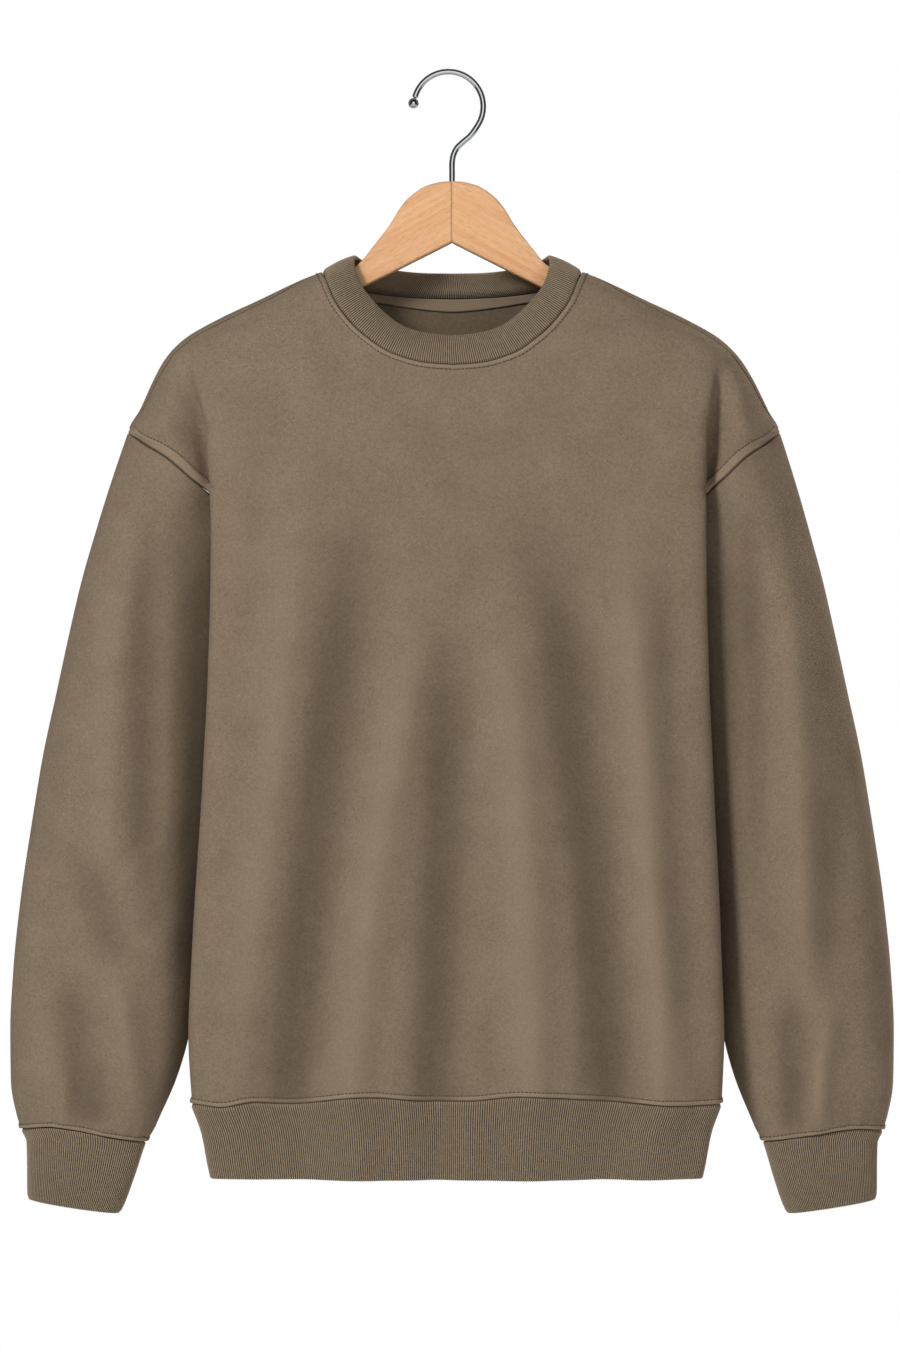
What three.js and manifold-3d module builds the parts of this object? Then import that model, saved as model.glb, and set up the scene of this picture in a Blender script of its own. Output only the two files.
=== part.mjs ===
// Oversized crewneck sweatshirt of heavy fleece with rib trims, on a wooden hanger with a wire hook.
// Millimetres, +Z up, the front faces -Y. The origin is the inside top of the hook, where a rail bears.
import * as THREE from "three";
import { mergeVertices } from "three/addons/utils/BufferGeometryUtils.js";
import Module from "manifold-3d";

const wasm = await Module();
wasm.setup();

// Cloth
const fleeceThickness = 2.2;
const ribThickness = 3.0;
const tapeThickness = 1.0;
const seamEase = 0.17; // each piece stops this far short of a seam line
const armholeEase = 0.3; // the same at the armhole, where the two walls meet in a sharp crease
const tapeGap = 0.3; // between the neck tape and the back panel
const ribHeight = 0.7; // how far a rib stands out
const collarBulge = 1.4; // the folded collar band is slightly round
const neckSideY = -3; // the shoulder seam lies a little in front of the ridge

// Rib counts follow from the columns of the cloth above each band
const hemRibColumns = 4;
const collarRibColumns = 3;
const cuffRibColumns = 3;

// Hanger
const boardThickness = 13;
const boardRound = 2.5;
const armJointGap = 0.3;
const wireDiameter = 4.5;
const ballDiameter = 8;
const hookMeanRadius = 27.15;
const hookCentre = { x: -2.8, z: -24.74 };
const hookBallAngle = 167; // degrees from +X, where the ball sits
const hookLowAngle = -33; // degrees, where the ring leaves for the shank
const shankBendTop = { x: 6.6, z: -54.6 };
const shankBendLow = { x: 0, z: -62.4 };
const shankBottomZ = -108;
const boreClearance = 0.3;
const jointOverlap = 8; // the outline starts past the joint, so that the cut face is square
const wireSides = 8;
const wireSteps = 44;

// Colours as seen in the photograph
const colours = {
  fleece: 0x7e6e5c,
  rib: 0x746554,
  tape: 0x63574a,
  wood: 0xe3b385,
  chrome: 0xc9cbcd,
};

// Half sections of the body, one row for each height. A section runs from the middle of the panel
// to the fold beside the sleeve, back into the crease behind that fold, and out to the seam.
// sleeve is 1 where the seam is the armhole and 0 where front and back are sewn to each other.
const bodyTable = makeTable(
  ["z", "frontY", "backY", "foldX", "foldY", "creaseX", "creaseY", "armX", "armY",
    "seamX", "frontSeamY", "backSeamY", "sleeve"],
  [
    [-798, -62, 60, 203.0, -40, 202.0, -13, 201.0, -6, 200.5, 0, 0, 0],
    [-750, -66, 64, 205.0, -46, 202.5, -15, 200.5, -7, 199.5, 0, 0, 0],
    [-700, -69, 67, 203.0, -50, 200.0, -16, 197.5, -7, 196.0, 0, 0, 0],
    [-640, -71.5, 69, 200.0, -53, 197.0, -18, 193.5, -8, 191.5, 0, 0, 0],
    [-580, -73, 70, 196.5, -55, 193.0, -20, 188.5, -9, 186.0, 0, 0, 0],
    [-520, -73, 70, 193.5, -56, 190.0, -24, 184.0, -11, 180.0, 0, 0, 0],
    [-470, -71.5, 68, 191.5, -56, 187.5, -28, 180.0, -14, 174.0, 0, 0, 0],
    [-445, -70.5, 67, 190.8, -55.5, 187.5, -30, 181.5, -19, 175.5, -7, 7, 1],
    [-420, -69, 65, 190.2, -55, 187.5, -32, 183.0, -22, 178.0, -13, 13, 1],
    [-390, -67, 63, 189.8, -54, 187.5, -34, 183.5, -25.5, 180.0, -18, 18, 1],
    [-360, -64, 61, 189.7, -52.5, 188.0, -36, 185.0, -28, 182.5, -22, 22, 1],
    [-335, -61, 58, 190.0, -50.5, 189.5, -36, 188.0, -30, 187.0, -25, 25, 1],
    [-315, -58, 56, 190.5, -48.5, 190.0, -27, 198.0, -33, 207.0, -39, 39, 1],
    [-300, -56, 54, 191.0, -47.5, 192.5, -25, 209.0, -37, 224.0, -37, 37, 1],
    [-289, -54, 52, 191.5, -46.5, 193.0, -25, 217.0, -38, 241.0, -24, 24, 1],
    [-279, -51.5, 50.5, 192.0, -45, 194.0, -25, 224.0, -38, 253.9, -3, -3, 0],
    [-262, -48, 48, 195.0, -42, 198.0, -27, 220.0, -34, 245.0, -3, -3, 0],
    [-238, -42, 45, 199.0, -36, 205.0, -29, 219.0, -27, 233.5, -4, -4, 0],
    [-222, -39, 43, 195.0, -31, 208.0, -26, 217.0, -18, 224.0, -4, -4, 0],
    [-207, -36.5, 41, 178.0, -27, 193.0, -22, 203.0, -14, 209.5, -4.5, -4.5, 0],
    [-191.3, -33, 38, 140.0, -24, 162.0, -19, 174.0, -13, 182.6, -5, -5, 0],
    [-175.7, -30, 35, 106.0, -24, 128.5, -19, 141.0, -13, 149.6, -4.5, -4.5, 0],
    [-160, -27, 29, 73.0, -23, 96.0, -18.5, 108.5, -12, 116.6, -4, -4, 0],
    [-153.9, -26, 26, 60.0, -23, 81.0, -18, 93.0, -12, 101.4, neckSideY, neckSideY, 0],
  ],
);

// Where the mesh has its columns along half a section, counted in the section's named points,
// and where the same columns reach the neckline, as a share of its length from the middle
const columnMarks = [0, 0.5, 1, 1.5, 2, 2.5, 3, 3.4, 3.8, 4.3, 5, 5.5, 6];
const neckMarks = [0, 0.1, 0.2, 0.3, 0.4, 0.5, 0.6, 0.7, 0.8, 0.88, 0.94, 0.975, 1];

// Heights of the mesh rows at the side seam, armhole and shoulder
const underarmZ = -470;
const shoulderTipZ = -279;
const rowHeights = [
  -798, -750, -700, -640, -580, -520, underarmZ, -445, -420, -390, -360, -335, -315, -300, -289,
  shoulderTipZ, -262, -243, -222, -203, -185, -168, -153.9,
];
const neckReachZ = -340; // rows above this height dip towards the neckline

// Neckline seam and upper edge of the collar, from the middle to the shoulder
const neckSeam = {
  front: [[0, -228], [26, -225.5], [50, -217.3], [62.9, -208.5], [74.1, -199], [84.3, -187],
    [91.3, -176.5], [95.5, -167], [101.4, -153.9]],
  back: [[0, -171.6], [35, -170.4], [65, -167], [88, -161.5], [101.4, -153.9]],
};
const collarEdge = {
  front: [[0, -205.3], [19, -203.4], [35.1, -199], [47, -191.8], [56.5, -183], [64.4, -174.1],
    [70.8, -164.8], [75.2, -152], [76.4, -146], [75.7, -139.4]],
  back: [[0, -153], [30, -152], [55, -148.5], [70, -143.5], [75.7, -139.4]],
};
const collarEdgeDepth = 30; // the collar's upper edge reaches this far before and behind neckSideY
const collarRoundness = 0.44; // below 1 the collar's upper edge is squarer in plan than an ellipse

// Rings of a sleeve from the armhole to the cuff: outer end, inner end, half depth and middle depth.
// armhole is how much of the armhole's own shape is left in the ring.
const sleeveTable = makeTable(
  ["ring", "outerX", "outerZ", "innerX", "innerZ", "depth", "middleY", "armhole"],
  [
    [0, 253.9, -279, 174.0, -470, 40, 0, 1],
    [1, 262.0, -303, 181.0, -488, 47, 0.5, 0.72],
    [2, 270.0, -328, 184.5, -510, 51, 1, 0.5],
    [3, 279.5, -360, 187.5, -540, 54, 1.5, 0.33],
    [4, 289.0, -394, 190.5, -572, 56, 2, 0.2],
    [5, 299.0, -437, 194.0, -608, 56.5, 3, 0.1],
    [6, 309.0, -483, 197.0, -644, 55.5, 4, 0.04],
    [7, 319.0, -529, 200.0, -680, 53, 5, 0],
    [8, 328.0, -583, 203.0, -712, 49, 5, 0],
    [9, 336.5, -640, 206.0, -737, 45, 5, 0],
    [10, 342.5, -697, 211.0, -760, 41, 5, 0],
    [11, 345.0, -745, 218.0, -783, 36, 5, 0],
    [12, 344.5, -785, 227.5, -806, 31, 5, 0],
    [13, 340.5, -812, 236.0, -823, 26, 5, 0],
    [14, 336.5, -826, 241.0, -831, 22, 5, 0],
  ],
);
const sleeveRings = 14;

// Rings of a cuff below the sleeve, in the same terms
const cuffRows = [
  { outerX: 331.5, outerZ: -836, innerX: 244.0, innerZ: -838, depth: 20 },
  { outerX: 330.7, outerZ: -855, innerX: 250.4, innerZ: -859, depth: 19 },
  { outerX: 331.0, outerZ: -873, innerX: 259.5, innerZ: -885, depth: 18 },
  { outerX: 327.5, outerZ: -878, innerX: 263.5, innerZ: -888.5, depth: 16 },
];
const cuffMiddleY = 5;

// Rings of the hem band: height, and width and depth as shares of the body's lower edge
const hemRows = [
  { z: -822, width: 0.957, depth: 0.89 },
  { z: -847, width: 0.937, depth: 0.85 },
  { z: -858, width: 0.928, depth: 0.83 },
];

// The largest folds, as seen from outside: each runs from a top to a bottom point, bows sideways
// by bow at its middle, and stands out by height (a trough where height is negative).
const foldNames = ["topX", "topZ", "bottomX", "bottomZ", "bow", "width", "height"];
const frontFolds = namedRows(foldNames, [
  [-68, -290, -140, -880, -2, 21, -10.0],
  [-4, -390, -20, -890, 2, 18, -9.5],
  [58, -300, 126, -890, 10, 21, -10.0],
  [158, -300, 186, -780, -4, 12, -4.0],
  [-118, -290, -172, -800, 2, 19, 6.0],
  [-14, -360, -86, -890, -14, 19, 8.5],
  [32, -380, 60, -890, 6, 20, 8.5],
  [126, -300, 168, -880, -2, 18, 9.5],
]);
const backFolds = namedRows(foldNames, [
  [120, -290, 150, -760, -10, 22, -5.0],
  [40, -380, 62, -840, -4, 22, -5.5],
  [-36, -320, -88, -840, -12, 20, -5.0],
  [82, -350, 108, -800, 0, 22, 5.0],
  [-10, -430, -22, -810, 4, 24, 4.0],
  [-120, -340, -140, -800, -6, 22, 5.0],
]);
const sleeveFolds = {
  left: namedRows(foldNames, [
    [-238, -290, -236, -660, -2, 13, -8.0],
    [-262, -310, -268, -640, -3, 14, 4.5],
    [-300, -590, -256, -700, 4, 14, -5.5],
    [-304, -690, -282, -836, 3, 13, -7.0],
    [-262, -690, -243, -830, 2, 11, 6.0],
  ]),
  right: namedRows(foldNames, [
    [256, -300, 274, -760, 2, 15, 6.5],
    [230, -320, 232, -640, 0, 10, -5.0],
    [304, -520, 296, -700, -4, 14, -4.5],
    [262, -700, 264, -836, 0, 12, -7.0],
    [294, -710, 284, -836, -2, 11, 6.0],
  ]),
};

// The body hangs a few millimetres to one side
const leanTable = makeTable(
  ["z", "shift"],
  [[-860, 3.4], [-720, 3.5], [-560, 4.6], [-380, 5], [-280, 3.8], [-200, 0], [-100, 0]],
);
const leanFullX = 190;
const leanNoneX = 300;

// Hanger outlines, from the joint in the middle to the arm's end
const hangerTop = [[0, -83.3], [10, -84.2], [20, -87], [27.5, -91.3], [33.5, -96], [41, -105],
  [47, -115], [53.4, -124], [61, -133.6], [66, -140], [71, -146], [78, -151], [101.4, -160.8], [117, -166]];
const hangerRidge = [[134, -167.9], [150.5, -175.7], [167.3, -183.5], [183.3, -191.3], [198, -199]];
const ridgeDrop = 5.1; // the board lies this far under the outside of the shoulder
const hangerEnd = [[202.5, -209.1], [205.5, -215], [204, -221.5], [198, -225]];
const hangerUnderside = [[140, -199.5], [70, -166.5], [0, -131.2]];

// Table reading

function namedRows(names, rows) {
  return rows.map((row) => Object.fromEntries(names.map((name, i) => [name, row[i]])));
}

// Slopes for a smooth line through a column that never overshoots its own values
function easySlopes(keys, values) {
  const steps = keys.slice(1).map((key, i) => (values[i + 1] - values[i]) / (key - keys[i]));
  return keys.map((key, i) => {
    if (i === 0) return steps[0];
    if (i === keys.length - 1) return steps[i - 1];
    const before = steps[i - 1];
    const after = steps[i];
    return before * after <= 0 ? 0 : (2 * before * after) / (before + after);
  });
}

function makeTable(names, rows) {
  const columns = Object.fromEntries(names.map((name, i) => [name, rows.map((row) => row[i])]));
  const keys = columns[names[0]];
  const slopes = Object.fromEntries(names.map((name) => [name, easySlopes(keys, columns[name])]));
  return { keys, columns, slopes };
}

// Cubic between two values with given slopes, over a span of length width
function cubicBetween(from, to, fromSlope, toSlope, width, share) {
  const square = share * share;
  const cube = square * share;
  return (2 * cube - 3 * square + 1) * from + (cube - 2 * square + share) * width * fromSlope
    + (3 * square - 2 * cube) * to + (cube - square) * width * toSlope;
}

function readTable(table, name, key) {
  const { keys, columns, slopes } = table;
  const held = THREE.MathUtils.clamp(key, keys[0], keys[keys.length - 1]);
  let i = 0;
  while (i < keys.length - 2 && keys[i + 1] < held) i += 1;
  const width = keys[i + 1] - keys[i];
  const share = (held - keys[i]) / width;
  const [values, slope] = [columns[name], slopes[name]];
  return cubicBetween(values[i], values[i + 1], slope[i], slope[i + 1], width, share);
}

// Body

// Point between the second and third of four points, on a smooth curve that keeps its bends local
function curvePoint(a, b, c, d, share) {
  const spanBefore = Math.sqrt(a.distanceTo(b));
  const span = Math.sqrt(b.distanceTo(c));
  const spanAfter = Math.sqrt(c.distanceTo(d));
  const slope = (p, q, r, first, second) =>
    (q - p) / first - (r - p) / (first + second) + (r - q) / second;
  const along = (axis) => cubicBetween(
    b[axis], c[axis],
    slope(a[axis], b[axis], c[axis], spanBefore, span),
    slope(b[axis], c[axis], d[axis], span, spanAfter),
    span, share,
  );
  return new THREE.Vector2(along("x"), along("y"));
}

// Named points of half a section at a height; side is -1 for the front and 1 for the back.
// The first is the mirror image of the third, and the last tells the curve how to leave the seam.
function sectionPoints(side, z) {
  const value = (name) => readTable(bodyTable, name, z);
  const middleY = side < 0 ? value("frontY") : value("backY");
  const foldX = value("foldX");
  const foldY = -side * value("foldY");
  const between = (shareX, shareY) =>
    new THREE.Vector2(foldX * shareX, THREE.MathUtils.lerp(middleY, foldY, shareY));
  const arm = new THREE.Vector2(value("armX"), -side * value("armY"));
  const seamY = side < 0 ? value("frontSeamY") : value("backSeamY");
  const seam = new THREE.Vector2(value("seamX"), seamY);
  const across = new THREE.Vector2(arm.x, -arm.y);
  const onward = seam.clone().multiplyScalar(2).sub(arm);
  return [
    between(-0.36, 0.1),
    new THREE.Vector2(0, middleY),
    between(0.36, 0.1),
    between(0.72, 0.4),
    new THREE.Vector2(foldX, foldY),
    new THREE.Vector2(value("creaseX"), -side * value("creaseY")),
    arm,
    seam,
    across.lerp(onward, value("sleeve")),
  ];
}

// How far the folds lift the cloth at a point seen from the front or back
function foldLift(folds, x, z) {
  let lift = 0;
  for (const fold of folds) {
    const run = (fold.topZ - z) / (fold.topZ - fold.bottomZ);
    if (run <= 0 || run >= 1) continue;
    const line = THREE.MathUtils.lerp(fold.topX, fold.bottomX, run) + fold.bow * 4 * run * (1 - run);
    const ends = THREE.MathUtils.smoothstep(run, 0, 0.3) * (1 - THREE.MathUtils.smoothstep(run, 0.8, 1));
    lift += fold.height * ends * Math.exp(-(((x - line) / fold.width) ** 2));
  }
  return lift;
}

// Point of the body where mark counts along the section, negative on the left
function bodyPoint(side, mark, z) {
  const points = sectionPoints(side, z);
  const count = Math.min(Math.abs(mark), 5.999999);
  const i = Math.floor(count);
  const point = curvePoint(points[i], points[i + 1], points[i + 2], points[i + 3], count - i);
  const x = Math.sign(mark) * point.x;
  const folds = side < 0 ? frontFolds : backFolds;
  const inside = 1 - THREE.MathUtils.smoothstep(Math.abs(mark), 2.4, 3.2);
  return new THREE.Vector3(x, point.y + side * inside * foldLift(folds, x, z), z);
}

function outlineCurve(rows) {
  return new THREE.CatmullRomCurve3(rows.map(([x, z]) => new THREE.Vector3(x, 0, z)));
}

// Section mark at which the body is x away from the middle
function markAtX(side, x, z) {
  let low = 0;
  let high = 6;
  for (let step = 0; step < 30; step += 1) {
    const middle = (low + high) / 2;
    if (bodyPoint(side, middle, z).x < x) low = middle;
    else high = middle;
  }
  return (low + high) / 2;
}

// Columns run from the left seam to the right seam, rows from the hem to the neckline
function bodyGrid(side) {
  const curve = outlineCurve(side < 0 ? neckSeam.front : neckSeam.back);
  const last = columnMarks.length - 1;
  const neckZ = rowHeights[rowHeights.length - 1];
  const halfColumns = columnMarks.map((mark, j) => {
    const onNeck = curve.getPointAt(neckMarks[j]);
    const neckMark = j === last ? mark : markAtX(side, onNeck.x, onNeck.z);
    return { mark, neckMark, drop: onNeck.z - neckZ };
  });
  return rowHeights.map((height) => {
    const reach = Math.max(0, (height - neckReachZ) / (neckZ - neckReachZ)) ** 1.3;
    const pointOf = (column, sign) => bodyPoint(
      side,
      sign * THREE.MathUtils.lerp(column.mark, column.neckMark, reach ** 1.5),
      height + column.drop * reach,
    );
    const right = halfColumns.map((column) => pointOf(column, 1));
    const left = halfColumns.slice(1).reverse().map((column) => pointOf(column, -1));
    return [...left, ...right];
  });
}

// Sleeves and cuffs

// The ring's own ellipse; turn 0 is the outer end, a quarter turn the front, half a turn the inner end
function ellipsePoint(handed, ring, turn) {
  const value = (name) => readTable(sleeveTable, name, ring);
  const half = Math.cos(turn * 2 * Math.PI) / 2;
  const x = (value("outerX") + value("innerX")) / 2 + half * (value("outerX") - value("innerX"));
  const z = (value("outerZ") + value("innerZ")) / 2 + half * (value("outerZ") - value("innerZ"));
  const y = value("middleY") - value("depth") * Math.sin(turn * 2 * Math.PI);
  return new THREE.Vector3(handed * x, y, z);
}

// Armhole points in the order of a sleeve's rings: front from tip to underarm, then up the back
function armholeLoop(front, back, handed) {
  const tip = rowHeights.indexOf(shoulderTipZ);
  const under = rowHeights.indexOf(underarmZ);
  const column = handed > 0 ? front[0].length - 1 : 0;
  const loop = [];
  for (let i = tip; i > under; i -= 1) loop.push([front, i, column]);
  for (let i = under; i < tip; i += 1) loop.push([back, i, column]);
  return loop;
}

function sleeveGrid(handed, loop) {
  const folds = handed > 0 ? sleeveFolds.right : sleeveFolds.left;
  const rows = [];
  for (let ring = 0; ring <= sleeveRings; ring += 1) {
    const armhole = readTable(sleeveTable, "armhole", ring);
    rows.push(loop.map(([grid, i, j], k) => {
      const turn = k / loop.length;
      const away = grid[i][j].clone().sub(ellipsePoint(handed, 0, turn));
      const point = ellipsePoint(handed, ring, turn).addScaledVector(away, armhole);
      const facing = Math.sin(turn * 2 * Math.PI) * (1 - armhole);
      point.y -= facing * foldLift(folds, point.x, point.z);
      return point;
    }));
  }
  return rows;
}

function cuffGrid(handed, lastRing) {
  const rows = cuffRows.map((row) => lastRing.map((point, k) => {
    const angle = (k / lastRing.length) * 2 * Math.PI;
    const half = Math.cos(angle) / 2;
    return new THREE.Vector3(
      handed * ((row.outerX + row.innerX) / 2 + half * (row.outerX - row.innerX)),
      cuffMiddleY - row.depth * Math.sin(angle),
      (row.outerZ + row.innerZ) / 2 + half * (row.outerZ - row.innerZ),
    );
  }));
  return [lastRing.map((point) => point.clone()), ...rows];
}

// Collar and hem band

// Front row from left to right, then the back row from right to left, each point once
function loopOfRows(frontRow, backRow) {
  return [...frontRow.slice(0, -1), ...backRow.slice(1).reverse()];
}

function collarGrid(front, back) {
  const top = front.length - 1;
  const seamLoop = loopOfRows(front[top], back[top]).map((point) => point.clone());
  const edgePoint = (side, share, sign) => {
    const point = outlineCurve(side < 0 ? collarEdge.front : collarEdge.back).getPointAt(share);
    const depth = collarEdgeDepth * Math.max(0, Math.cos((share * Math.PI) / 2)) ** collarRoundness;
    return new THREE.Vector3(sign * point.x, neckSideY + side * depth, point.z);
  };
  const edgeRow = (side) => [
    ...neckMarks.slice(1).reverse().map((share) => edgePoint(side, share, -1)),
    ...neckMarks.map((share) => edgePoint(side, share, 1)),
  ];
  const edgeLoop = loopOfRows(edgeRow(-1), edgeRow(1));
  const shares = [0, 0.3, 0.7, 1];
  return shares.map((share) => seamLoop.map((point, j) => point.clone().lerp(edgeLoop[j], share)));
}

function hemGrid(front, back) {
  const seamLoop = loopOfRows(front[0], back[0]).map((point) => point.clone());
  const rows = hemRows.map((row) => seamLoop.map(
    (point) => new THREE.Vector3(point.x * row.width, point.y * row.depth, row.z),
  ));
  return [seamLoop, ...rows];
}

// Walls

// Unit vectors square to a grid of points, pointing the way that outward says
function gridNormals(grid, closed, outward) {
  const lastRow = grid.length - 1;
  const columns = grid[0].length;
  const held = (j) => THREE.MathUtils.clamp(j, 0, columns - 1);
  const step = (j, by) => (closed ? (j + by + columns) % columns : held(j + by));
  return grid.map((row, i) => row.map((point, j) => {
    const along = grid[Math.min(i + 1, lastRow)][j].clone().sub(grid[Math.max(i - 1, 0)][j]);
    const across = row[step(j, 1)].clone().sub(row[step(j, -1)]);
    return across.cross(along).normalize().multiplyScalar(outward);
  }));
}

// Neighbours at a seam take the same direction through the cloth, so their edges stay parallel
function shareDirection(...directions) {
  const sum = new THREE.Vector3();
  for (const direction of directions) sum.add(direction);
  sum.normalize();
  for (const direction of directions) direction.copy(sum);
}

// Moves the points of a seam line towards their neighbours, square to the line
function easeLine(line, neighbours, closed, distance) {
  const last = line.length - 1;
  const shifts = line.map((point, k) => {
    const before = k > 0 ? line[k - 1] : line[closed ? last : 0];
    const after = k < last ? line[k + 1] : line[closed ? 0 : last];
    const along = after.clone().sub(before).normalize();
    const away = neighbours[k].clone().sub(point);
    return away.addScaledVector(along, -away.dot(along)).setLength(distance);
  });
  line.forEach((point, k) => point.add(shifts[k]));
}

function easeRow(grid, row, next, closed, distance = seamEase) {
  easeLine(grid[row], grid[next], closed, distance);
}

function easeColumn(grid, column, next, from, to, distance = seamEase) {
  const rows = grid.slice(from, to + 1);
  easeLine(rows.map((row) => row[column]), rows.map((row) => row[next]), false, distance);
}

function quad(indices, a, b, c, d, points) {
  const straight = points[a].distanceTo(points[c]) <= points[b].distanceTo(points[d]);
  if (straight) indices.push(a, b, c, a, c, d);
  else indices.push(a, b, d, b, c, d);
}

function signedVolume(points, indices) {
  let volume = 0;
  for (let k = 0; k < indices.length; k += 3) {
    const [a, b, c] = [0, 1, 2].map((corner) => points[indices[k + corner]]);
    volume += a.dot(b.clone().cross(c));
  }
  return volume;
}

function closedGeometry(points, indices) {
  const turned = signedVolume(points, indices) < 0;
  const ordered = turned ? [...indices].reverse() : indices;
  const coordinates = points.flatMap((point) => point.toArray());
  const geometry = new THREE.BufferGeometry();
  geometry.setAttribute("position", new THREE.Float32BufferAttribute(coordinates, 3));
  geometry.setIndex(ordered);
  geometry.computeVertexNormals();
  return geometry;
}

// The whole garment leans by a few millimetres, less towards the outsides of the sleeves
function leaned(point) {
  const near = 1 - THREE.MathUtils.smoothstep(Math.abs(point.x), leanFullX, leanNoneX);
  return new THREE.Vector3(point.x + near * readTable(leanTable, "shift", point.z), point.y, point.z);
}

// Wall between an outer and an inner grid that are open on all four sides
function panelGeometry(outer, inner) {
  const rows = outer.length;
  const columns = outer[0].length;
  const [top, right] = [rows - 1, columns - 1];
  const points = [...outer.flat(), ...inner.flat()].map(leaned);
  const out = (i, j) => i * columns + j;
  const inn = (i, j) => rows * columns + out(i, j);
  const indices = [];
  for (let i = 0; i < top; i += 1) {
    for (let j = 0; j < right; j += 1) {
      quad(indices, out(i, j), out(i, j + 1), out(i + 1, j + 1), out(i + 1, j), points);
      quad(indices, inn(i, j), inn(i + 1, j), inn(i + 1, j + 1), inn(i, j + 1), points);
    }
    quad(indices, out(i, 0), out(i + 1, 0), inn(i + 1, 0), inn(i, 0), points);
    quad(indices, out(i, right), inn(i, right), inn(i + 1, right), out(i + 1, right), points);
  }
  for (let j = 0; j < right; j += 1) {
    quad(indices, out(0, j), inn(0, j), inn(0, j + 1), out(0, j + 1), points);
    quad(indices, out(top, j), out(top, j + 1), inn(top, j + 1), inn(top, j), points);
  }
  return closedGeometry(points, indices);
}

// Wall made of loops that follow each other over the outside and back up the inside
function ringGeometry(loops) {
  const columns = loops[0].length;
  const points = loops.flat().map(leaned);
  const indices = [];
  loops.forEach((loop, i) => {
    const [here, next] = [i * columns, ((i + 1) % loops.length) * columns];
    for (let j = 0; j < columns; j += 1) {
      const onward = (j + 1) % columns;
      quad(indices, here + j, here + onward, next + onward, next + j, points);
    }
  });
  return closedGeometry(points, indices);
}

function moved(grid, normals, distance) {
  const move = (point, normal) => point.clone().addScaledVector(normal, distance);
  return grid.map((row, i) => row.map((point, j) => move(point, normals[i][j])));
}

function fleecePanel(grid, normals) {
  return panelGeometry(grid, moved(grid, normals, -fleeceThickness));
}

function fleeceTube(grid, normals) {
  return ringGeometry([...grid, ...moved(grid, normals, -fleeceThickness).reverse()]);
}

// Splits each column of a closed grid into equal parts
function splitColumns(grid, parts) {
  return grid.map((row) => row.flatMap((point, j) => {
    const onward = row[(j + 1) % row.length];
    return Array.from({ length: parts }, (unused, k) => point.clone().lerp(onward, k / parts));
  }));
}

// Rib band: every other column of the outside stands out, and the inside is plain
function ribBand(grid, normals, parts, bulge) {
  const fineGrid = splitColumns(grid, parts);
  const fineNormals = splitColumns(normals, parts);
  for (const normal of fineNormals.flat()) normal.normalize();
  const last = fineGrid.length - 1;
  const outer = fineGrid.map((row, i) => row.map((point, j) => {
    const round = bulge * 4 * (i / last) * (1 - i / last);
    return point.clone().addScaledVector(fineNormals[i][j], round + (j % 2) * ribHeight);
  }));
  const ends = [fineGrid[0], fineGrid[last]];
  const inner = moved(ends, [fineNormals[0], fineNormals[last]], -ribThickness);
  return ringGeometry([...outer, inner[1], inner[0]]);
}

// Neck tape: a strip on the inside of the back panel, just below the collar seam
function tapeGeometry(back, normals) {
  const top = back.length - 1;
  const firstColumn = 3;
  const lastColumn = back[0].length - 4;
  const shares = [0.68, 0.08]; // how far down from the seam towards the next row
  const strip = (distance) => shares.map((share) => {
    const row = [];
    for (let j = firstColumn; j <= lastColumn; j += 1) {
      const point = back[top][j].clone().lerp(back[top - 1][j], share);
      const normal = normals[top][j].clone().lerp(normals[top - 1][j], share).normalize();
      row.push(point.addScaledVector(normal, -distance));
    }
    return row;
  });
  const nearSide = fleeceThickness + tapeGap;
  return panelGeometry(strip(nearSide), strip(nearSide + tapeThickness));
}

// Hanger

function toSolid(geometry) {
  const bare = geometry.clone();
  bare.deleteAttribute("normal");
  bare.deleteAttribute("uv");
  const merged = mergeVertices(bare, 1e-4);
  return new wasm.Manifold(new wasm.Mesh({
    numProp: 3,
    vertProperties: new Float32Array(merged.attributes.position.array),
    triVerts: new Uint32Array(merged.index.array),
  }));
}

function fromSolid(solid) {
  const mesh = solid.getMesh();
  const geometry = new THREE.BufferGeometry();
  const coordinates = new Float32Array(mesh.vertProperties);
  geometry.setAttribute("position", new THREE.BufferAttribute(coordinates, 3));
  geometry.setIndex(new THREE.BufferAttribute(new Uint32Array(mesh.triVerts), 1));
  geometry.computeVertexNormals();
  return geometry;
}

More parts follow.
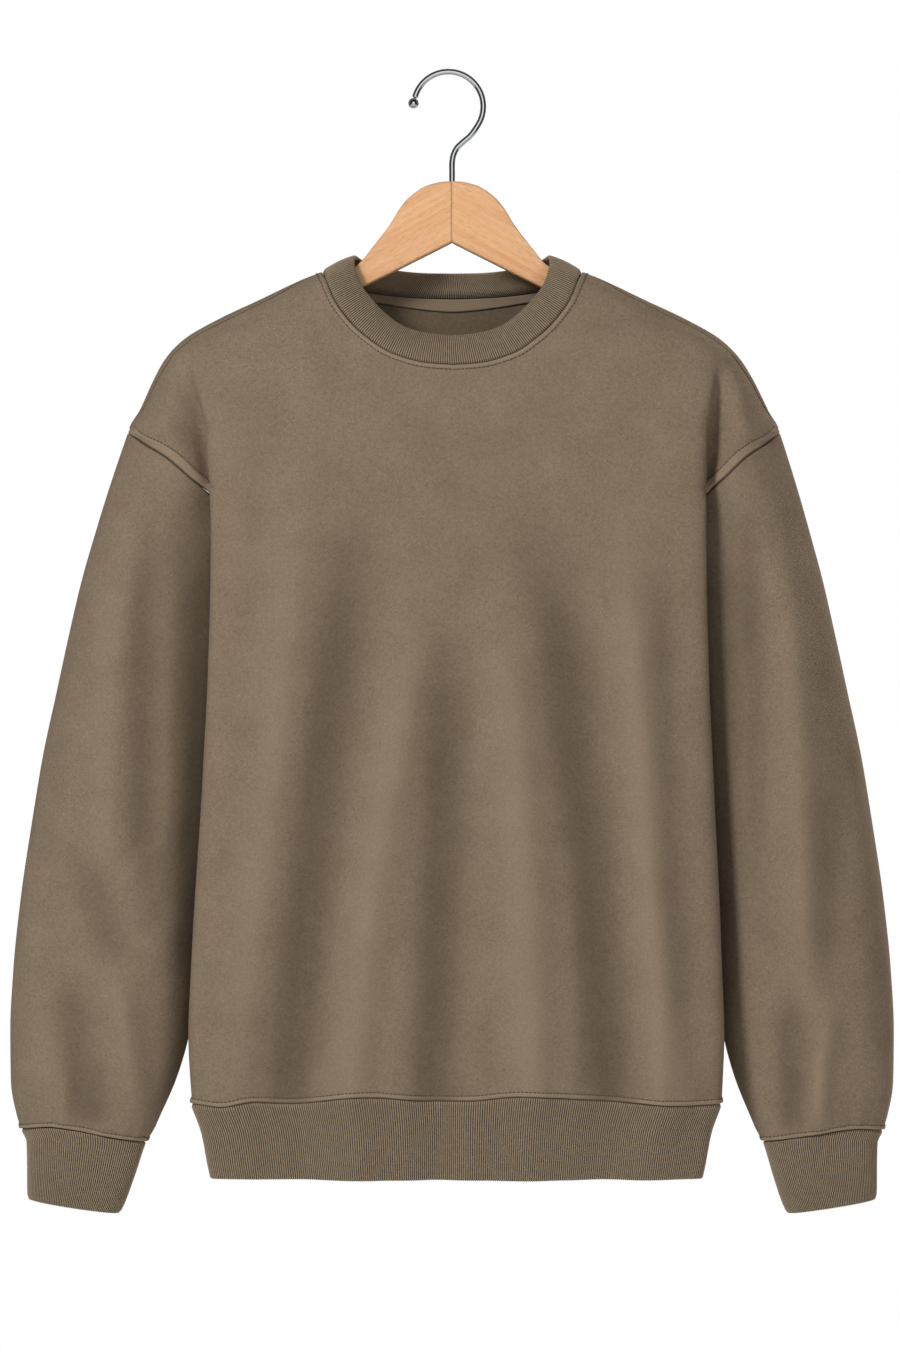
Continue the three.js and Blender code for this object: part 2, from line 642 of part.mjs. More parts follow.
// One arm: its outline in X and Z, as thick as the board, cut square at the joint, bored for the hook
function hangerArmGeometry(handed) {
  const underMiddle = hangerUnderside[hangerUnderside.length - 1][1];
  const ridge = hangerRidge.map(([x, z]) => [x, z - ridgeDrop]);
  const outline = [[-jointOverlap, hangerTop[0][1]], ...hangerTop, ...ridge, ...hangerEnd,
    ...hangerUnderside, [-jointOverlap, underMiddle]];
  const shape = new THREE.Shape(outline.map(([x, z]) => new THREE.Vector2(x, z)));
  const board = new THREE.ExtrudeGeometry(shape, {
    depth: boardThickness - 2 * boardRound,
    bevelEnabled: true,
    bevelThickness: boardRound,
    bevelSize: boardRound,
    bevelOffset: -boardRound,
    bevelSegments: 2,
    curveSegments: 1,
  });
  board.translate(0, 0, boardRound - boardThickness / 2);
  board.rotateX(Math.PI / 2);
  const reach = 60; // of the cutting block, past the board on every side
  const cutter = new THREE.BoxGeometry(reach, reach, 2 * reach);
  cutter.translate(armJointGap / 2 - reach / 2, 0, hangerTop[0][1] - reach / 2);
  const boreSides = 12;
  const boreRadius = (wireDiameter / 2 + boreClearance) / Math.cos(Math.PI / boreSides);
  const boreLength = reach;
  const bore = new THREE.CylinderGeometry(boreRadius, boreRadius, boreLength, boreSides);
  bore.rotateX(Math.PI / 2);
  bore.translate(0, 0, shankBottomZ - boreClearance + boreLength / 2);
  const arm = toSolid(board).subtract(toSolid(cutter)).subtract(toSolid(bore));
  const geometry = fromSolid(arm);
  if (handed > 0) return geometry;
  geometry.scale(-1, 1, 1);
  geometry.setIndex([...geometry.index.array].reverse());
  return geometry;
}

function hookPoint(angleDegrees) {
  const angle = THREE.MathUtils.degToRad(angleDegrees);
  return new THREE.Vector3(
    hookCentre.x + hookMeanRadius * Math.cos(angle), 0, hookCentre.z + hookMeanRadius * Math.sin(angle),
  );
}

// The wire runs from the ball over the top, down the diagonal and into the wood
function hookGeometry() {
  const points = [];
  const ringSteps = 22;
  for (let k = 0; k <= ringSteps; k += 1) {
    points.push(hookPoint(THREE.MathUtils.lerp(hookBallAngle, hookLowAngle, k / ringSteps)));
  }
  const bendTop = new THREE.Vector3(shankBendTop.x, 0, shankBendTop.z);
  const bendLow = new THREE.Vector3(shankBendLow.x, 0, shankBendLow.z);
  points.push(points[ringSteps].clone().lerp(bendTop, 0.5), bendTop);
  points.push(bendTop.clone().lerp(bendLow, 0.55).add(new THREE.Vector3(-0.9, 0, 0)), bendLow);
  points.push(bendLow.clone().setZ(-72), bendLow.clone().setZ(-90), bendLow.clone().setZ(shankBottomZ));
  const section = new THREE.Shape();
  for (let k = 0; k < wireSides; k += 1) {
    const angle = (k / wireSides) * 2 * Math.PI;
    const corner = [Math.cos(angle), Math.sin(angle)].map((part) => (part * wireDiameter) / 2);
    if (k === 0) section.moveTo(...corner);
    else section.lineTo(...corner);
  }
  const extrudePath = new THREE.CatmullRomCurve3(points);
  return new THREE.ExtrudeGeometry(section, { extrudePath, steps: wireSteps, bevelEnabled: false });
}

function ballGeometry() {
  const tangentAngle = THREE.MathUtils.degToRad(hookBallAngle + 90);
  const away = ballDiameter / 2 + boreClearance;
  const end = hookPoint(hookBallAngle);
  const ball = new THREE.SphereGeometry(ballDiameter / 2, 12, 8);
  ball.rotateX(Math.PI / 2);
  ball.translate(end.x + away * Math.cos(tangentAngle), 0, end.z + away * Math.sin(tangentAngle));
  return ball;
}

// Assembly

const front = bodyGrid(-1);
const back = bodyGrid(1);
const armholes = { left: armholeLoop(front, back, -1), right: armholeLoop(front, back, 1) };
const sleeves = { left: sleeveGrid(-1, armholes.left), right: sleeveGrid(1, armholes.right) };
const cuffs = {
  left: cuffGrid(-1, sleeves.left[sleeveRings]),
  right: cuffGrid(1, sleeves.right[sleeveRings]),
};
const collar = collarGrid(front, back);
const hem = hemGrid(front, back);

const frontNormals = gridNormals(front, false, 1);
const backNormals = gridNormals(back, false, -1);
const collarNormals = gridNormals(collar, true, 1);
const hemNormals = gridNormals(hem, true, -1);
const sleeveNormals = {
  left: gridNormals(sleeves.left, true, -1),
  right: gridNormals(sleeves.right, true, 1),
};
const cuffNormals = {
  left: gridNormals(cuffs.left, true, -1),
  right: gridNormals(cuffs.right, true, 1),
};

function shareSeams() {
  const lastRow = front.length - 1;
  const lastColumn = front[0].length - 1;
  const tip = rowHeights.indexOf(shoulderTipZ);
  const under = rowHeights.indexOf(underarmZ);
  for (const j of [0, lastColumn]) {
    front.forEach((row, i) => {
      if (i < under || i > tip) shareDirection(frontNormals[i][j], backNormals[i][j]);
    });
  }
  for (const side of ["left", "right"]) {
    const j = side === "right" ? lastColumn : 0;
    armholes[side].forEach(([grid, i], k) => {
      const bodyNormals = grid === front ? frontNormals : backNormals;
      const ringNormal = sleeveNormals[side][0][k];
      if (i === tip || i === under) shareDirection(frontNormals[i][j], backNormals[i][j]);
      shareDirection(bodyNormals[i][j], ringNormal);
      if (i === tip || i === under) {
        frontNormals[i][j].copy(ringNormal);
        backNormals[i][j].copy(ringNormal);
      }
    });
    sleeveNormals[side][sleeveRings].forEach((normal, k) => shareDirection(normal, cuffNormals[side][0][k]));
  }
  for (const [row, bandNormals] of [[lastRow, collarNormals[0]], [0, hemNormals[0]]]) {
    const frontLoop = frontNormals[row];
    const backLoop = backNormals[row];
    loopOfRows(frontLoop, backLoop).forEach((normal, k) => shareDirection(normal, bandNormals[k]));
    backLoop[0].copy(frontLoop[0]);
    frontLoop[lastColumn].copy(backLoop[lastColumn]);
  }
}

function easeSeams() {
  const lastRow = front.length - 1;
  const lastColumn = front[0].length - 1;
  const tip = rowHeights.indexOf(shoulderTipZ);
  const under = rowHeights.indexOf(underarmZ);
  for (const grid of [front, back]) {
    for (const [column, next] of [[0, 1], [lastColumn, lastColumn - 1]]) {
      easeColumn(grid, column, next, 0, under - 1);
      easeColumn(grid, column, next, under, tip, armholeEase);
      easeColumn(grid, column, next, tip + 1, lastRow);
    }
    easeRow(grid, 0, 1, false);
    easeRow(grid, lastRow, lastRow - 1, false);
  }
  for (const side of ["left", "right"]) {
    easeRow(sleeves[side], 0, 1, true, armholeEase);
    easeRow(sleeves[side], sleeveRings, sleeveRings - 1, true);
    easeRow(cuffs[side], 0, 1, true);
  }
  easeRow(collar, 0, 1, true);
  easeRow(hem, 0, 1, true);
}

shareSeams();
easeSeams();

const sweatshirt = new THREE.Group();

function addPiece(name, geometry, color, roughness, metalness) {
  const material = new THREE.MeshStandardMaterial({ color, roughness, metalness });
  const mesh = new THREE.Mesh(geometry, material);
  mesh.name = name;
  sweatshirt.add(mesh);
}

addPiece("front", fleecePanel(front, frontNormals), colours.fleece, 0.95, 0);
addPiece("back", fleecePanel(back, backNormals), colours.fleece, 0.95, 0);
for (const side of ["left", "right"]) {
  addPiece(`sleeve_${side}`, fleeceTube(sleeves[side], sleeveNormals[side]), colours.fleece, 0.95, 0);
  addPiece(`cuff_${side}`, ribBand(cuffs[side], cuffNormals[side], cuffRibColumns, 0), colours.rib, 0.95, 0);
  addPiece(`hanger_arm_${side}`, hangerArmGeometry(side === "right" ? 1 : -1), colours.wood, 0.5, 0);
}
addPiece("collar", ribBand(collar, collarNormals, collarRibColumns, collarBulge), colours.rib, 0.95, 0);
addPiece("hem_band", ribBand(hem, hemNormals, hemRibColumns, 0), colours.rib, 0.95, 0);
addPiece("neck_tape", tapeGeometry(back, backNormals), colours.tape, 0.9, 0);
addPiece("hanger_hook", hookGeometry(), colours.chrome, 0.15, 1);
addPiece("hook_ball", ballGeometry(), colours.chrome, 0.15, 1);

export default sweatshirt;
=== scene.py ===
# Oversized crewneck sweatshirt of garment-dyed fleece on a beech hanger with a chromed wire hook.
# Sizes are in millimetres until a mesh is made. The front faces -Y, the rail bears at the origin.
import bmesh
import bpy
import math
import numpy as np
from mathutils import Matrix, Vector


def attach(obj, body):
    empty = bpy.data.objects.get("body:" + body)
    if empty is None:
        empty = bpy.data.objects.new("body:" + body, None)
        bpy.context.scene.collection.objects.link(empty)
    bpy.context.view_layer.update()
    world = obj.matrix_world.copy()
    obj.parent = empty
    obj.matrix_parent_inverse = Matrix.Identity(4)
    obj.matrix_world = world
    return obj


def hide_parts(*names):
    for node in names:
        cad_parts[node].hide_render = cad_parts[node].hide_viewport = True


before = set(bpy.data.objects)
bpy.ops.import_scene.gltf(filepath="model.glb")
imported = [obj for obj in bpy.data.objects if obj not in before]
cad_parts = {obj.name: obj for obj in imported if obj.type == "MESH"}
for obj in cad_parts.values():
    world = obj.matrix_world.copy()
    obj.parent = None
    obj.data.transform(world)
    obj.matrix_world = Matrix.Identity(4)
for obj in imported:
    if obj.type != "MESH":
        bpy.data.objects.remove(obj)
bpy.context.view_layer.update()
print("frame loaded:", len(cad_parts), "solids")

mm = 0.001
fullTurn = 2 * math.pi

cloth = {
    "fleece": 2.2,       # thickness of the brushed fleece
    "rib": 3.0,          # thickness of a folded rib band
    "ease": 0.15,        # each piece stops this far short of a seam line
    "dip": 1.2,          # how deep the cloth rolls in at a seam
    "roll": 1.0,         # how wide that roll is
    "welt": 1.25,        # how far the seam allowance stands up under the cloth
    "stitchDip": 0.8,    # how far a line of topstitching pulls in
    "foldHeight": 10.0,  # a fold this high has its full painted light, a trough this deep its full painted shade
    "inside": -0.8,      # the brushed inside gets painted shade as deep as a deep trough's
}

# Half sections of the body at each height: from the middle of a panel to the fold beside the
# sleeve, back into the crease behind the fold, and out to the seam. sleeve is 1 at the armhole.
bodyNames = ["z", "frontY", "backY", "foldX", "foldY", "creaseX", "creaseY", "armX", "armY",
             "seamX", "frontSeamY", "backSeamY", "sleeve"]
bodyRows = [
    [-798, -62, 60, 203.0, -40, 202.0, -13, 201.0, -6, 200.5, 0, 0, 0],
    [-750, -66, 64, 205.0, -46, 202.5, -15, 200.5, -7, 199.5, 0, 0, 0],
    [-700, -69, 67, 203.0, -50, 200.0, -16, 197.5, -7, 196.0, 0, 0, 0],
    [-640, -71.5, 69, 200.0, -53, 197.0, -18, 193.5, -8, 191.5, 0, 0, 0],
    [-580, -73, 70, 196.5, -55, 193.0, -20, 188.5, -9, 186.0, 0, 0, 0],
    [-520, -73, 70, 193.5, -56, 190.0, -24, 184.0, -11, 180.0, 0, 0, 0],
    [-470, -71.5, 68, 191.5, -56, 187.5, -28, 180.0, -14, 174.0, 0, 0, 0],
    [-445, -70.5, 67, 190.8, -55.5, 187.5, -30, 181.5, -19, 175.5, -7, 7, 1],
    [-420, -69, 65, 190.2, -55, 187.5, -32, 183.0, -22, 178.0, -13, 13, 1],
    [-390, -67, 63, 189.8, -54, 187.5, -34, 183.5, -25.5, 180.0, -18, 18, 1],
    [-360, -64, 61, 189.7, -52.5, 188.0, -36, 185.0, -28, 182.5, -22, 22, 1],
    [-335, -61, 58, 190.0, -50.5, 189.5, -36, 188.0, -30, 187.0, -25, 25, 1],
    [-315, -58, 56, 190.5, -48.5, 190.0, -27, 198.0, -33, 207.0, -39, 39, 1],
    [-300, -56, 54, 191.0, -47.5, 192.5, -25, 209.0, -37, 224.0, -37, 37, 1],
    [-289, -54, 52, 191.5, -46.5, 193.0, -25, 217.0, -38, 241.0, -24, 24, 1],
    [-279, -51.5, 50.5, 192.0, -45, 194.0, -25, 224.0, -38, 253.9, -3, -3, 0],
    [-262, -48, 48, 195.0, -42, 198.0, -27, 220.0, -34, 245.0, -3, -3, 0],
    [-238, -42, 45, 199.0, -36, 205.0, -29, 219.0, -27, 233.5, -4, -4, 0],
    [-222, -39, 43, 195.0, -31, 208.0, -26, 217.0, -18, 224.0, -4, -4, 0],
    [-207, -36.5, 41, 178.0, -27, 193.0, -22, 203.0, -14, 209.5, -4.5, -4.5, 0],
    [-191.3, -33, 38, 140.0, -24, 162.0, -19, 174.0, -13, 182.6, -5, -5, 0],
    [-175.7, -30, 35, 106.0, -24, 128.5, -19, 141.0, -13, 149.6, -4.5, -4.5, 0],
    [-160, -27, 29, 73.0, -23, 96.0, -18.5, 108.5, -12, 116.6, -4, -4, 0],
    [-153.9, -26, 26, 60.0, -23, 81.0, -18, 93.0, -12, 101.4, -3, -3, 0],
]
# The shoulder seam lies this many marks of the section in front of the ridge
forwardNames = ["z", "marks"]
forwardRows = [[-280, 0], [-279, 0], [-262, 0.22], [-238, 0.38], [-222, 0.7], [-207, 1], [-191, 1],
               [-172, 0.8], [-160, 0.3], [-153, 0]]
hemZ, neckZ = -798.0, -153.9
underarmZ, shoulderTipZ = -470.0, -279.0
neckReachZ = -340.0      # rows above this height dip towards the neckline
neckSideY = -3.0
columnMarks = [0, 0.5, 1, 1.5, 2, 2.5, 3, 3.4, 3.8, 4.3, 5, 5.5, 6]
neckMarks = [0, 0.1, 0.2, 0.3, 0.4, 0.5, 0.6, 0.7, 0.8, 0.88, 0.94, 0.975, 1]
armholeHeights = [-279, -289, -300, -315, -335, -360, -390, -420, -445, -470]

# Neckline seam and upper edge of the collar in X and Z, from the middle to the shoulder
neckSeam = {
    -1: [[0, -228], [26, -225.5], [50, -217.3], [62.9, -208.5], [74.1, -199], [84.3, -187],
         [91.3, -176.5], [95.5, -167], [101.4, -153.9]],
    1: [[0, -171.6], [35, -170.4], [65, -167], [88, -161.5], [101.4, -153.9]],
}
collarEdge = {
    -1: [[0, -205.3], [19, -203.4], [35.1, -199], [47, -191.8], [56.5, -183], [64.4, -174.1],
         [70.8, -164.8], [75.2, -152], [76.4, -146], [75.7, -139.4]],
    1: [[0, -153], [30, -152], [55, -148.5], [70, -143.5], [75.7, -139.4]],
}

# Rings of a sleeve from armhole to cuff; armhole is how much of its own shape a ring keeps
sleeveNames = ["ring", "outerX", "outerZ", "innerX", "innerZ", "depth", "middleY", "armhole"]
sleeveRows = [
    [0, 253.9, -279, 174.0, -470, 40, 0, 1],
    [1, 262.0, -303, 181.0, -488, 47, 0.5, 0.72],
    [2, 270.0, -328, 184.5, -510, 51, 1, 0.5],
    [3, 279.5, -360, 187.5, -540, 54, 1.5, 0.33],
    [4, 289.0, -394, 190.5, -572, 56, 2, 0.2],
    [5, 299.0, -437, 194.0, -608, 56.5, 3, 0.1],
    [6, 309.0, -483, 197.0, -644, 55.5, 4, 0.04],
    [7, 319.0, -529, 200.0, -680, 53, 5, 0],
    [8, 328.0, -583, 203.0, -712, 49, 5, 0],
    [9, 336.5, -640, 206.0, -737, 45, 5, 0],
    [10, 342.5, -697, 211.0, -760, 41, 5, 0],
    [11, 345.0, -745, 218.0, -783, 36, 5, 0],
    [12, 344.5, -785, 227.5, -806, 31, 5, 0],
    [13, 340.5, -812, 236.0, -823, 26, 5, 0],
    [14, 336.5, -826, 241.0, -831, 22, 5, 0],
]
lastRing = 14
cuffNames = ["share", "outerX", "outerZ", "innerX", "innerZ", "depth"]
cuffRows = [
    [0.0, 336.5, -826, 241.0, -831, 22],
    [0.2, 331.5, -836, 244.0, -838, 20],
    [0.55, 330.7, -855, 250.4, -859, 19],
    [0.9, 331.0, -873, 259.5, -885, 18],
    [1.0, 330.0, -877.5, 261.5, -888, 17.5],
]
hemNames = ["share", "z", "width", "depth"]
hemRows = [[0, -798, 1, 1], [0.4, -822, 0.957, 0.89], [0.82, -847, 0.937, 0.85], [1, -858, 0.928, 0.83]]

# Folds as seen from outside: each runs from a top to a bottom point, bows sideways by bow at its
# middle, is width wide and stands out by height (a trough where height is negative)
frontFolds = [
    [-68, -290, -140, -880, -2, 21, -10.0],
    [-4, -390, -20, -890, 2, 18, -9.5],
    [58, -300, 126, -890, 10, 21, -10.0],
    [158, -300, 186, -780, -4, 12, -4.0],
    [-118, -290, -172, -800, 2, 19, 6.0],
    [-14, -360, -86, -890, -14, 19, 8.5],
    [32, -380, 60, -890, 6, 20, 8.5],
    [126, -300, 168, -880, -2, 18, 9.5],
    [-176, -262, -170, -420, 4, 14, 2.4],      # soft ridges below the shoulders
    [156, -268, 162, -430, -3, 15, 2.0],
    [-30, -262, 8, -360, 6, 15, -1.4],         # slight drags below the collar
    [62, -262, 84, -360, 5, 15, 1.2],
    [-96, -225, -120, -310, -5, 13, 1.2],
    [-158, -470, -184, -640, 5, 11, -1.8],
    [-106, -600, -118, -834, -4, 10, -1.2],
    [84, -560, 92, -832, 3, 10, 1.2],
    [142, -580, 170, -800, 2, 11, 1.6],
    [-150, -700, -160, -834, 2, 8, -1.5],      # short folds where the rib draws the fleece in
    [-44, -715, -46, -836, 1, 8, 1.3],
    [26, -700, 30, -836, 0, 8, -1.2],
    [150, -710, 154, -836, 1, 8, 1.4],
    [-188, -660, -194, -800, 2, 8, -1.4],
]
backFolds = [
    [120, -290, 150, -760, -10, 22, -5.0],
    [40, -380, 62, -840, -4, 22, -5.5],
    [-36, -320, -88, -840, -12, 20, -5.0],
    [82, -350, 108, -800, 0, 22, 5.0],
    [-10, -430, -22, -810, 4, 24, 4.0],
    [-120, -340, -140, -800, -6, 22, 5.0],
    [-80, -205, -118, -330, -8, 18, 2.0],
    [74, -200, 110, -320, 7, 17, 1.8],
    [10, -215, -6, -400, 5, 20, -1.6],
    [-162, -300, -172, -470, 3, 13, -2.0],
    [166, -320, 176, -520, -4, 13, 2.0],
    [-60, -640, -66, -836, 2, 10, 1.6],
    [18, -680, 22, -836, 1, 9, -1.5],
    [96, -690, 104, -836, -2, 9, 1.5],
    [-128, -700, -134, -836, 2, 9, -1.6],
]
sleeveFolds = {
    -1: [
        [-238, -290, -236, -660, -2, 13, -8.0],
        [-262, -310, -268, -640, -3, 14, 4.5],
        [-300, -590, -256, -700, 4, 14, -5.5],
        [-304, -690, -282, -836, 3, 13, -7.0],
        [-262, -690, -243, -830, 2, 11, 6.0],
    ],
    1: [
        [256, -300, 274, -760, 2, 15, 6.5],
        [230, -320, 232, -640, 0, 10, -5.0],
        [304, -520, 296, -700, -4, 14, -4.5],
        [262, -700, 264, -836, 0, 12, -7.0],
        [294, -710, 284, -836, -2, 11, 6.0],
    ],
}
# Smaller creases of the sleeves, by hand and face; the hidden faces have their own
sleeveCreases = {
    (-1, -1): [
        [-252, -330, -262, -470, 4, 8, 1.8],
        [-210, -560, -240, -680, 6, 12, -3.0],
        [-226, -590, -262, -640, 0, 9, 2.2],
        [-312, -460, -322, -640, 3, 10, -2.2],
        [-330, -650, -326, -770, -3, 9, 2.0],
        [-276, -760, -272, -826, 1, 7, -3.2],
        [-300, -770, -304, -828, 1, 6, 2.0],
        [-246, -300, -262, -350, 2, 7, -1.6],
        [-204, -290, -203, -760, 0, 15, -10.0],      # falls away behind the body's fold
    ],
    (1, -1): [
        [226, -310, 226, -470, -2, 8, -3.0],
        [308, -440, 324, -640, 2, 10, 2.4],
        [222, -600, 250, -690, -5, 11, -2.6],
        [330, -660, 332, -770, 3, 9, -2.2],
        [282, -745, 279, -822, 0, 9, 3.2],
        [268, -770, 266, -828, 0, 6, -2.0],
        [236, -290, 254, -350, 2, 7, 1.5],
        [206, -290, 205, -760, 0, 14, -9.0],
    ],
    (-1, 1): [
        [-240, -330, -262, -520, 4, 12, 2.6],
        [-300, -420, -316, -610, -3, 11, -2.6],
        [-214, -580, -250, -690, 3, 12, 2.4],
        [-334, -640, -330, -770, 3, 9, 2.0],
        [-290, -750, -288, -825, -1, 8, 2.6],
    ],
    (1, 1): [
        [232, -330, 236, -520, 3, 12, 2.4],
        [304, -430, 322, -630, 4, 11, -2.4],
        [224, -600, 256, -700, -3, 11, -2.6],
        [336, -650, 334, -780, 2, 9, 2.0],
        [290, -755, 286, -825, -2, 8, 2.4],
    ],
}

# The body hangs a little to one side, and its hem seam waves where the rib draws the fleece in
leanNames = ["z", "shift"]
leanRows = [[-860, 3.4], [-720, 3.5], [-560, 4.6], [-380, 5], [-280, 3.8], [-200, 0], [-100, 0]]
waveNames = ["x", "rise"]
waveRows = [[-200, -2], [-182, -4], [-157, 0], [-129, -1], [-72, 5], [-17, 1.5], [11, 2],
            [50, 5.5], [94, 3], [136, -0.5], [178, -2.5], [204, -2]]

cuffWaveNames = ["x", "rise"]
cuffWaveRows = [[234, -2], [244, -1.3], [267, 1.3], [293, 5.5], [311, 7], [338, 3]]


# Slopes for a smooth line through a column that never overshoots its own values
def easySlopes(keys, values):
    steps = np.diff(values) / np.diff(keys)
    before, after = steps[:-1], steps[1:]
    total = np.where(before * after > 0, before + after, 1.0)
    inner = np.where(before * after > 0, 2 * before * after / total, 0.0)
    return np.concatenate([[steps[0]], inner, [steps[-1]]])


# Cubic between two values with given slopes over a span, share running from 0 to 1
def cubicBetween(start, end, startSlope, endSlope, span, share):
    square, cube = share ** 2, share ** 3
    return ((2 * cube - 3 * square + 1) * start + (cube - 2 * square + share) * span * startSlope
            + (3 * square - 2 * cube) * end + (cube - square) * span * endSlope)


def readTable(names, rows, name, key):
    table = np.asarray(rows, float)
    keys, values = table[:, 0], table[:, names.index(name)]
    slopes = easySlopes(keys, values)
    held = np.clip(key, keys[0], keys[-1])
    i = np.clip(np.searchsorted(keys, held, side="right") - 1, 0, len(keys) - 2)
    span = keys[i + 1] - keys[i]
    share = (held - keys[i]) / span
    return cubicBetween(values[i], values[i + 1], slopes[i], slopes[i + 1], span, share)


# All columns of a table at the same keys
def readAll(names, rows, key):
    return {name: readTable(names, rows, name, key) for name in names[1:]}


# Reads each column of a list of points at places along its keys
def readAt(where, keys, points):
    return np.stack([np.interp(where, keys, column) for column in points.T], axis=-1)


def unit(vectors):
    return vectors / np.maximum(np.linalg.norm(vectors, axis=-1, keepdims=True), 1e-9)


def smoothStep(value, low, high):
    share = np.clip((value - low) / (high - low), 0, 1)
    return share * share * (3 - 2 * share)


# Smooth curve between the second and third of four points that keeps its bends local
def curvePoint(a, b, c, d, share):
    before, span, after = [
        np.sqrt(np.maximum(np.linalg.norm(q - p, axis=-1, keepdims=True), 1e-6))
        for p, q in ((a, b), (b, c), (c, d))
    ]
    startSlope = (b - a) / before - (c - a) / (before + span) + (c - b) / span
    endSlope = (c - b) / span - (d - b) / (span + after) + (d - c) / after
    return cubicBetween(b, c, startSlope, endSlope, span, share[..., None])


# Dense smooth line through points, and the place at shares of a line's length
def smoothLine(points, closed=False, steps=40):
    points = np.asarray(points, float)
    if closed:
        ring = np.concatenate([points[-1:], points, points[:2]])
    else:
        ends = 2 * points[[0, -1]] - points[[1, -2]]
        ring = np.concatenate([ends[:1], points, ends[1:]])
    share = np.tile(np.arange(steps) / steps, len(ring) - 3)
    i = np.repeat(np.arange(len(ring) - 3), steps)
    line = curvePoint(ring[i], ring[i + 1], ring[i + 2], ring[i + 3], share)
    return np.concatenate([line, ring[-2:-1]])


def lineLengths(lines):
    steps = np.linalg.norm(np.diff(lines[..., :3], axis=-2), axis=-1)
    return np.concatenate([np.zeros_like(steps[..., :1]), np.cumsum(steps, axis=-1)], axis=-1)


def alongLine(line, share):
    lengths = lineLengths(line)
    return readAt(np.asarray(share) * lengths[-1], lengths, line)


# Softens the bends of a closed line over this many points to each side
def soften(line, reach):
    kernel = np.hanning(2 * reach + 1)
    kernel /= kernel.sum()
    return np.stack([np.convolve(np.concatenate([part[-reach:], part, part[:reach]]), kernel, "valid")
                     for part in line.T], -1)


# Reads many lines at once, each at its own distances along it
def readLines(lines, distances):
    lengths = lineLengths(lines)
    count = lines.shape[1]
    offset = np.arange(len(lines))[:, None] * (lengths.max() + 10.0)
    found = np.searchsorted((lengths + offset).ravel(), (distances + offset).ravel(), side="right")
    rows = np.arange(len(lines))[:, None]
    i = np.clip(found.reshape(distances.shape) - 1 - rows * count, 0, count - 2)
    start, end = lengths[rows, i], lengths[rows, i + 1]
    share = np.clip((distances - start) / np.maximum(end - start, 1e-9), 0, 1)[..., None]
    return lines[rows, i] * (1 - share) + lines[rows, i + 1] * share


# Distances at which a line of cloth gets its points: close together at both of its ends
nearSeam = np.array([
    0.15, 0.5, 0.9, 1.4, 2.0, 2.8, 3.7, 4.6, 5.5, 6.5, 7.5, 8.3, 9.2, 10.3, 11.7, 13.5, 16])


def seamSpacing(total, count):
    middle = np.linspace(0, 1, count - 2 * len(nearSeam) + 2)[1:-1]
    shrink = np.minimum(1, total / (4 * nearSeam[-1]))[:, None]
    near = nearSeam * shrink
    inner = near[:, -1:] + middle * (total[:, None] - 2 * near[:, -1:])
    return np.concatenate([near, inner, total[:, None] - near[:, ::-1]], axis=1)


# Armhole: a smooth closed loop through the table's seam points, front first, from the tip
def armholeCorners():
    table = np.asarray(bodyRows, float)
    rows = table[[np.flatnonzero(table[:, 0] == z)[0] for z in armholeHeights]]
    seam = rows[:, [bodyNames.index("seamX"), bodyNames.index("frontSeamY"), 0]]
    back = rows[:, [bodyNames.index("seamX"), bodyNames.index("backSeamY"), 0]]
    return np.concatenate([seam, back[1:-1][::-1]])


armholeLine = smoothLine(armholeCorners(), closed=True)
armholeTurns = np.linspace(0, 1, len(armholeLine))


def armholePoint(turn):
    return readAt(turn, armholeTurns, armholeLine)


def armholeAtHeight(side, z):
    half = armholeLine[armholeTurns <= 0.5] if side < 0 else armholeLine[armholeTurns >= 0.5]
    half = half[np.argsort(half[:, 2])]
    return np.interp(z, half[:, 2], half[:, 0]), np.interp(z, half[:, 2], half[:, 1])


# Named points of half a section at each height: side is -1 for the front and 1 for the back.
# The first mirrors the third, and the last tells the curve how to leave the seam.
def sectionPoints(side, z):
    value = readAll(bodyNames, bodyRows, z)
    middleY = value["frontY"] if side < 0 else value["backY"]
    foldX, foldY = value["foldX"], -side * value["foldY"]
    seamY = value["frontSeamY"] if side < 0 else value["backSeamY"]
    onArmhole = (z > underarmZ) & (z < shoulderTipZ)
    loopX, loopY = armholeAtHeight(side, z)
    seam = np.stack([np.where(onArmhole, loopX, value["seamX"]), np.where(onArmhole, loopY, seamY)], -1)
    arm = np.stack([value["armX"], -side * value["armY"]], -1)
    leave = value["sleeve"][:, None]

    def panelPoint(shareX, shareY):
        return np.stack([foldX * shareX, middleY + (foldY - middleY) * shareY], -1)

    return np.stack([
        panelPoint(-0.36, 0.1), panelPoint(0, 0), panelPoint(0.36, 0.1), panelPoint(0.72, 0.4),
        panelPoint(1, 1), np.stack([value["creaseX"], -side * value["creaseY"]], -1),
        arm, seam, arm * [1, -1] * (1 - leave) + (2 * seam - arm) * leave,
    ])


def foldLift(folds, x, z):
    lift = np.zeros_like(x)
    for topX, topZ, bottomX, bottomZ, bow, width, height in folds:
        run = np.clip((topZ - z) / (topZ - bottomZ), 0, 1)
        line = topX + (bottomX - topX) * run + bow * 4 * run * (1 - run)
        ends = smoothStep(run, 0, 0.3) * (1 - smoothStep(run, 0.8, 1))
        lift += height * ends * np.exp(-((x - line) / width) ** 2)
    return lift


# Last mark of a panel at height z: the back comes over the ridge of the shoulder to the seam
def lastMark(side, z):
    return 6 + side * readTable(forwardNames, forwardRows, "marks", z)


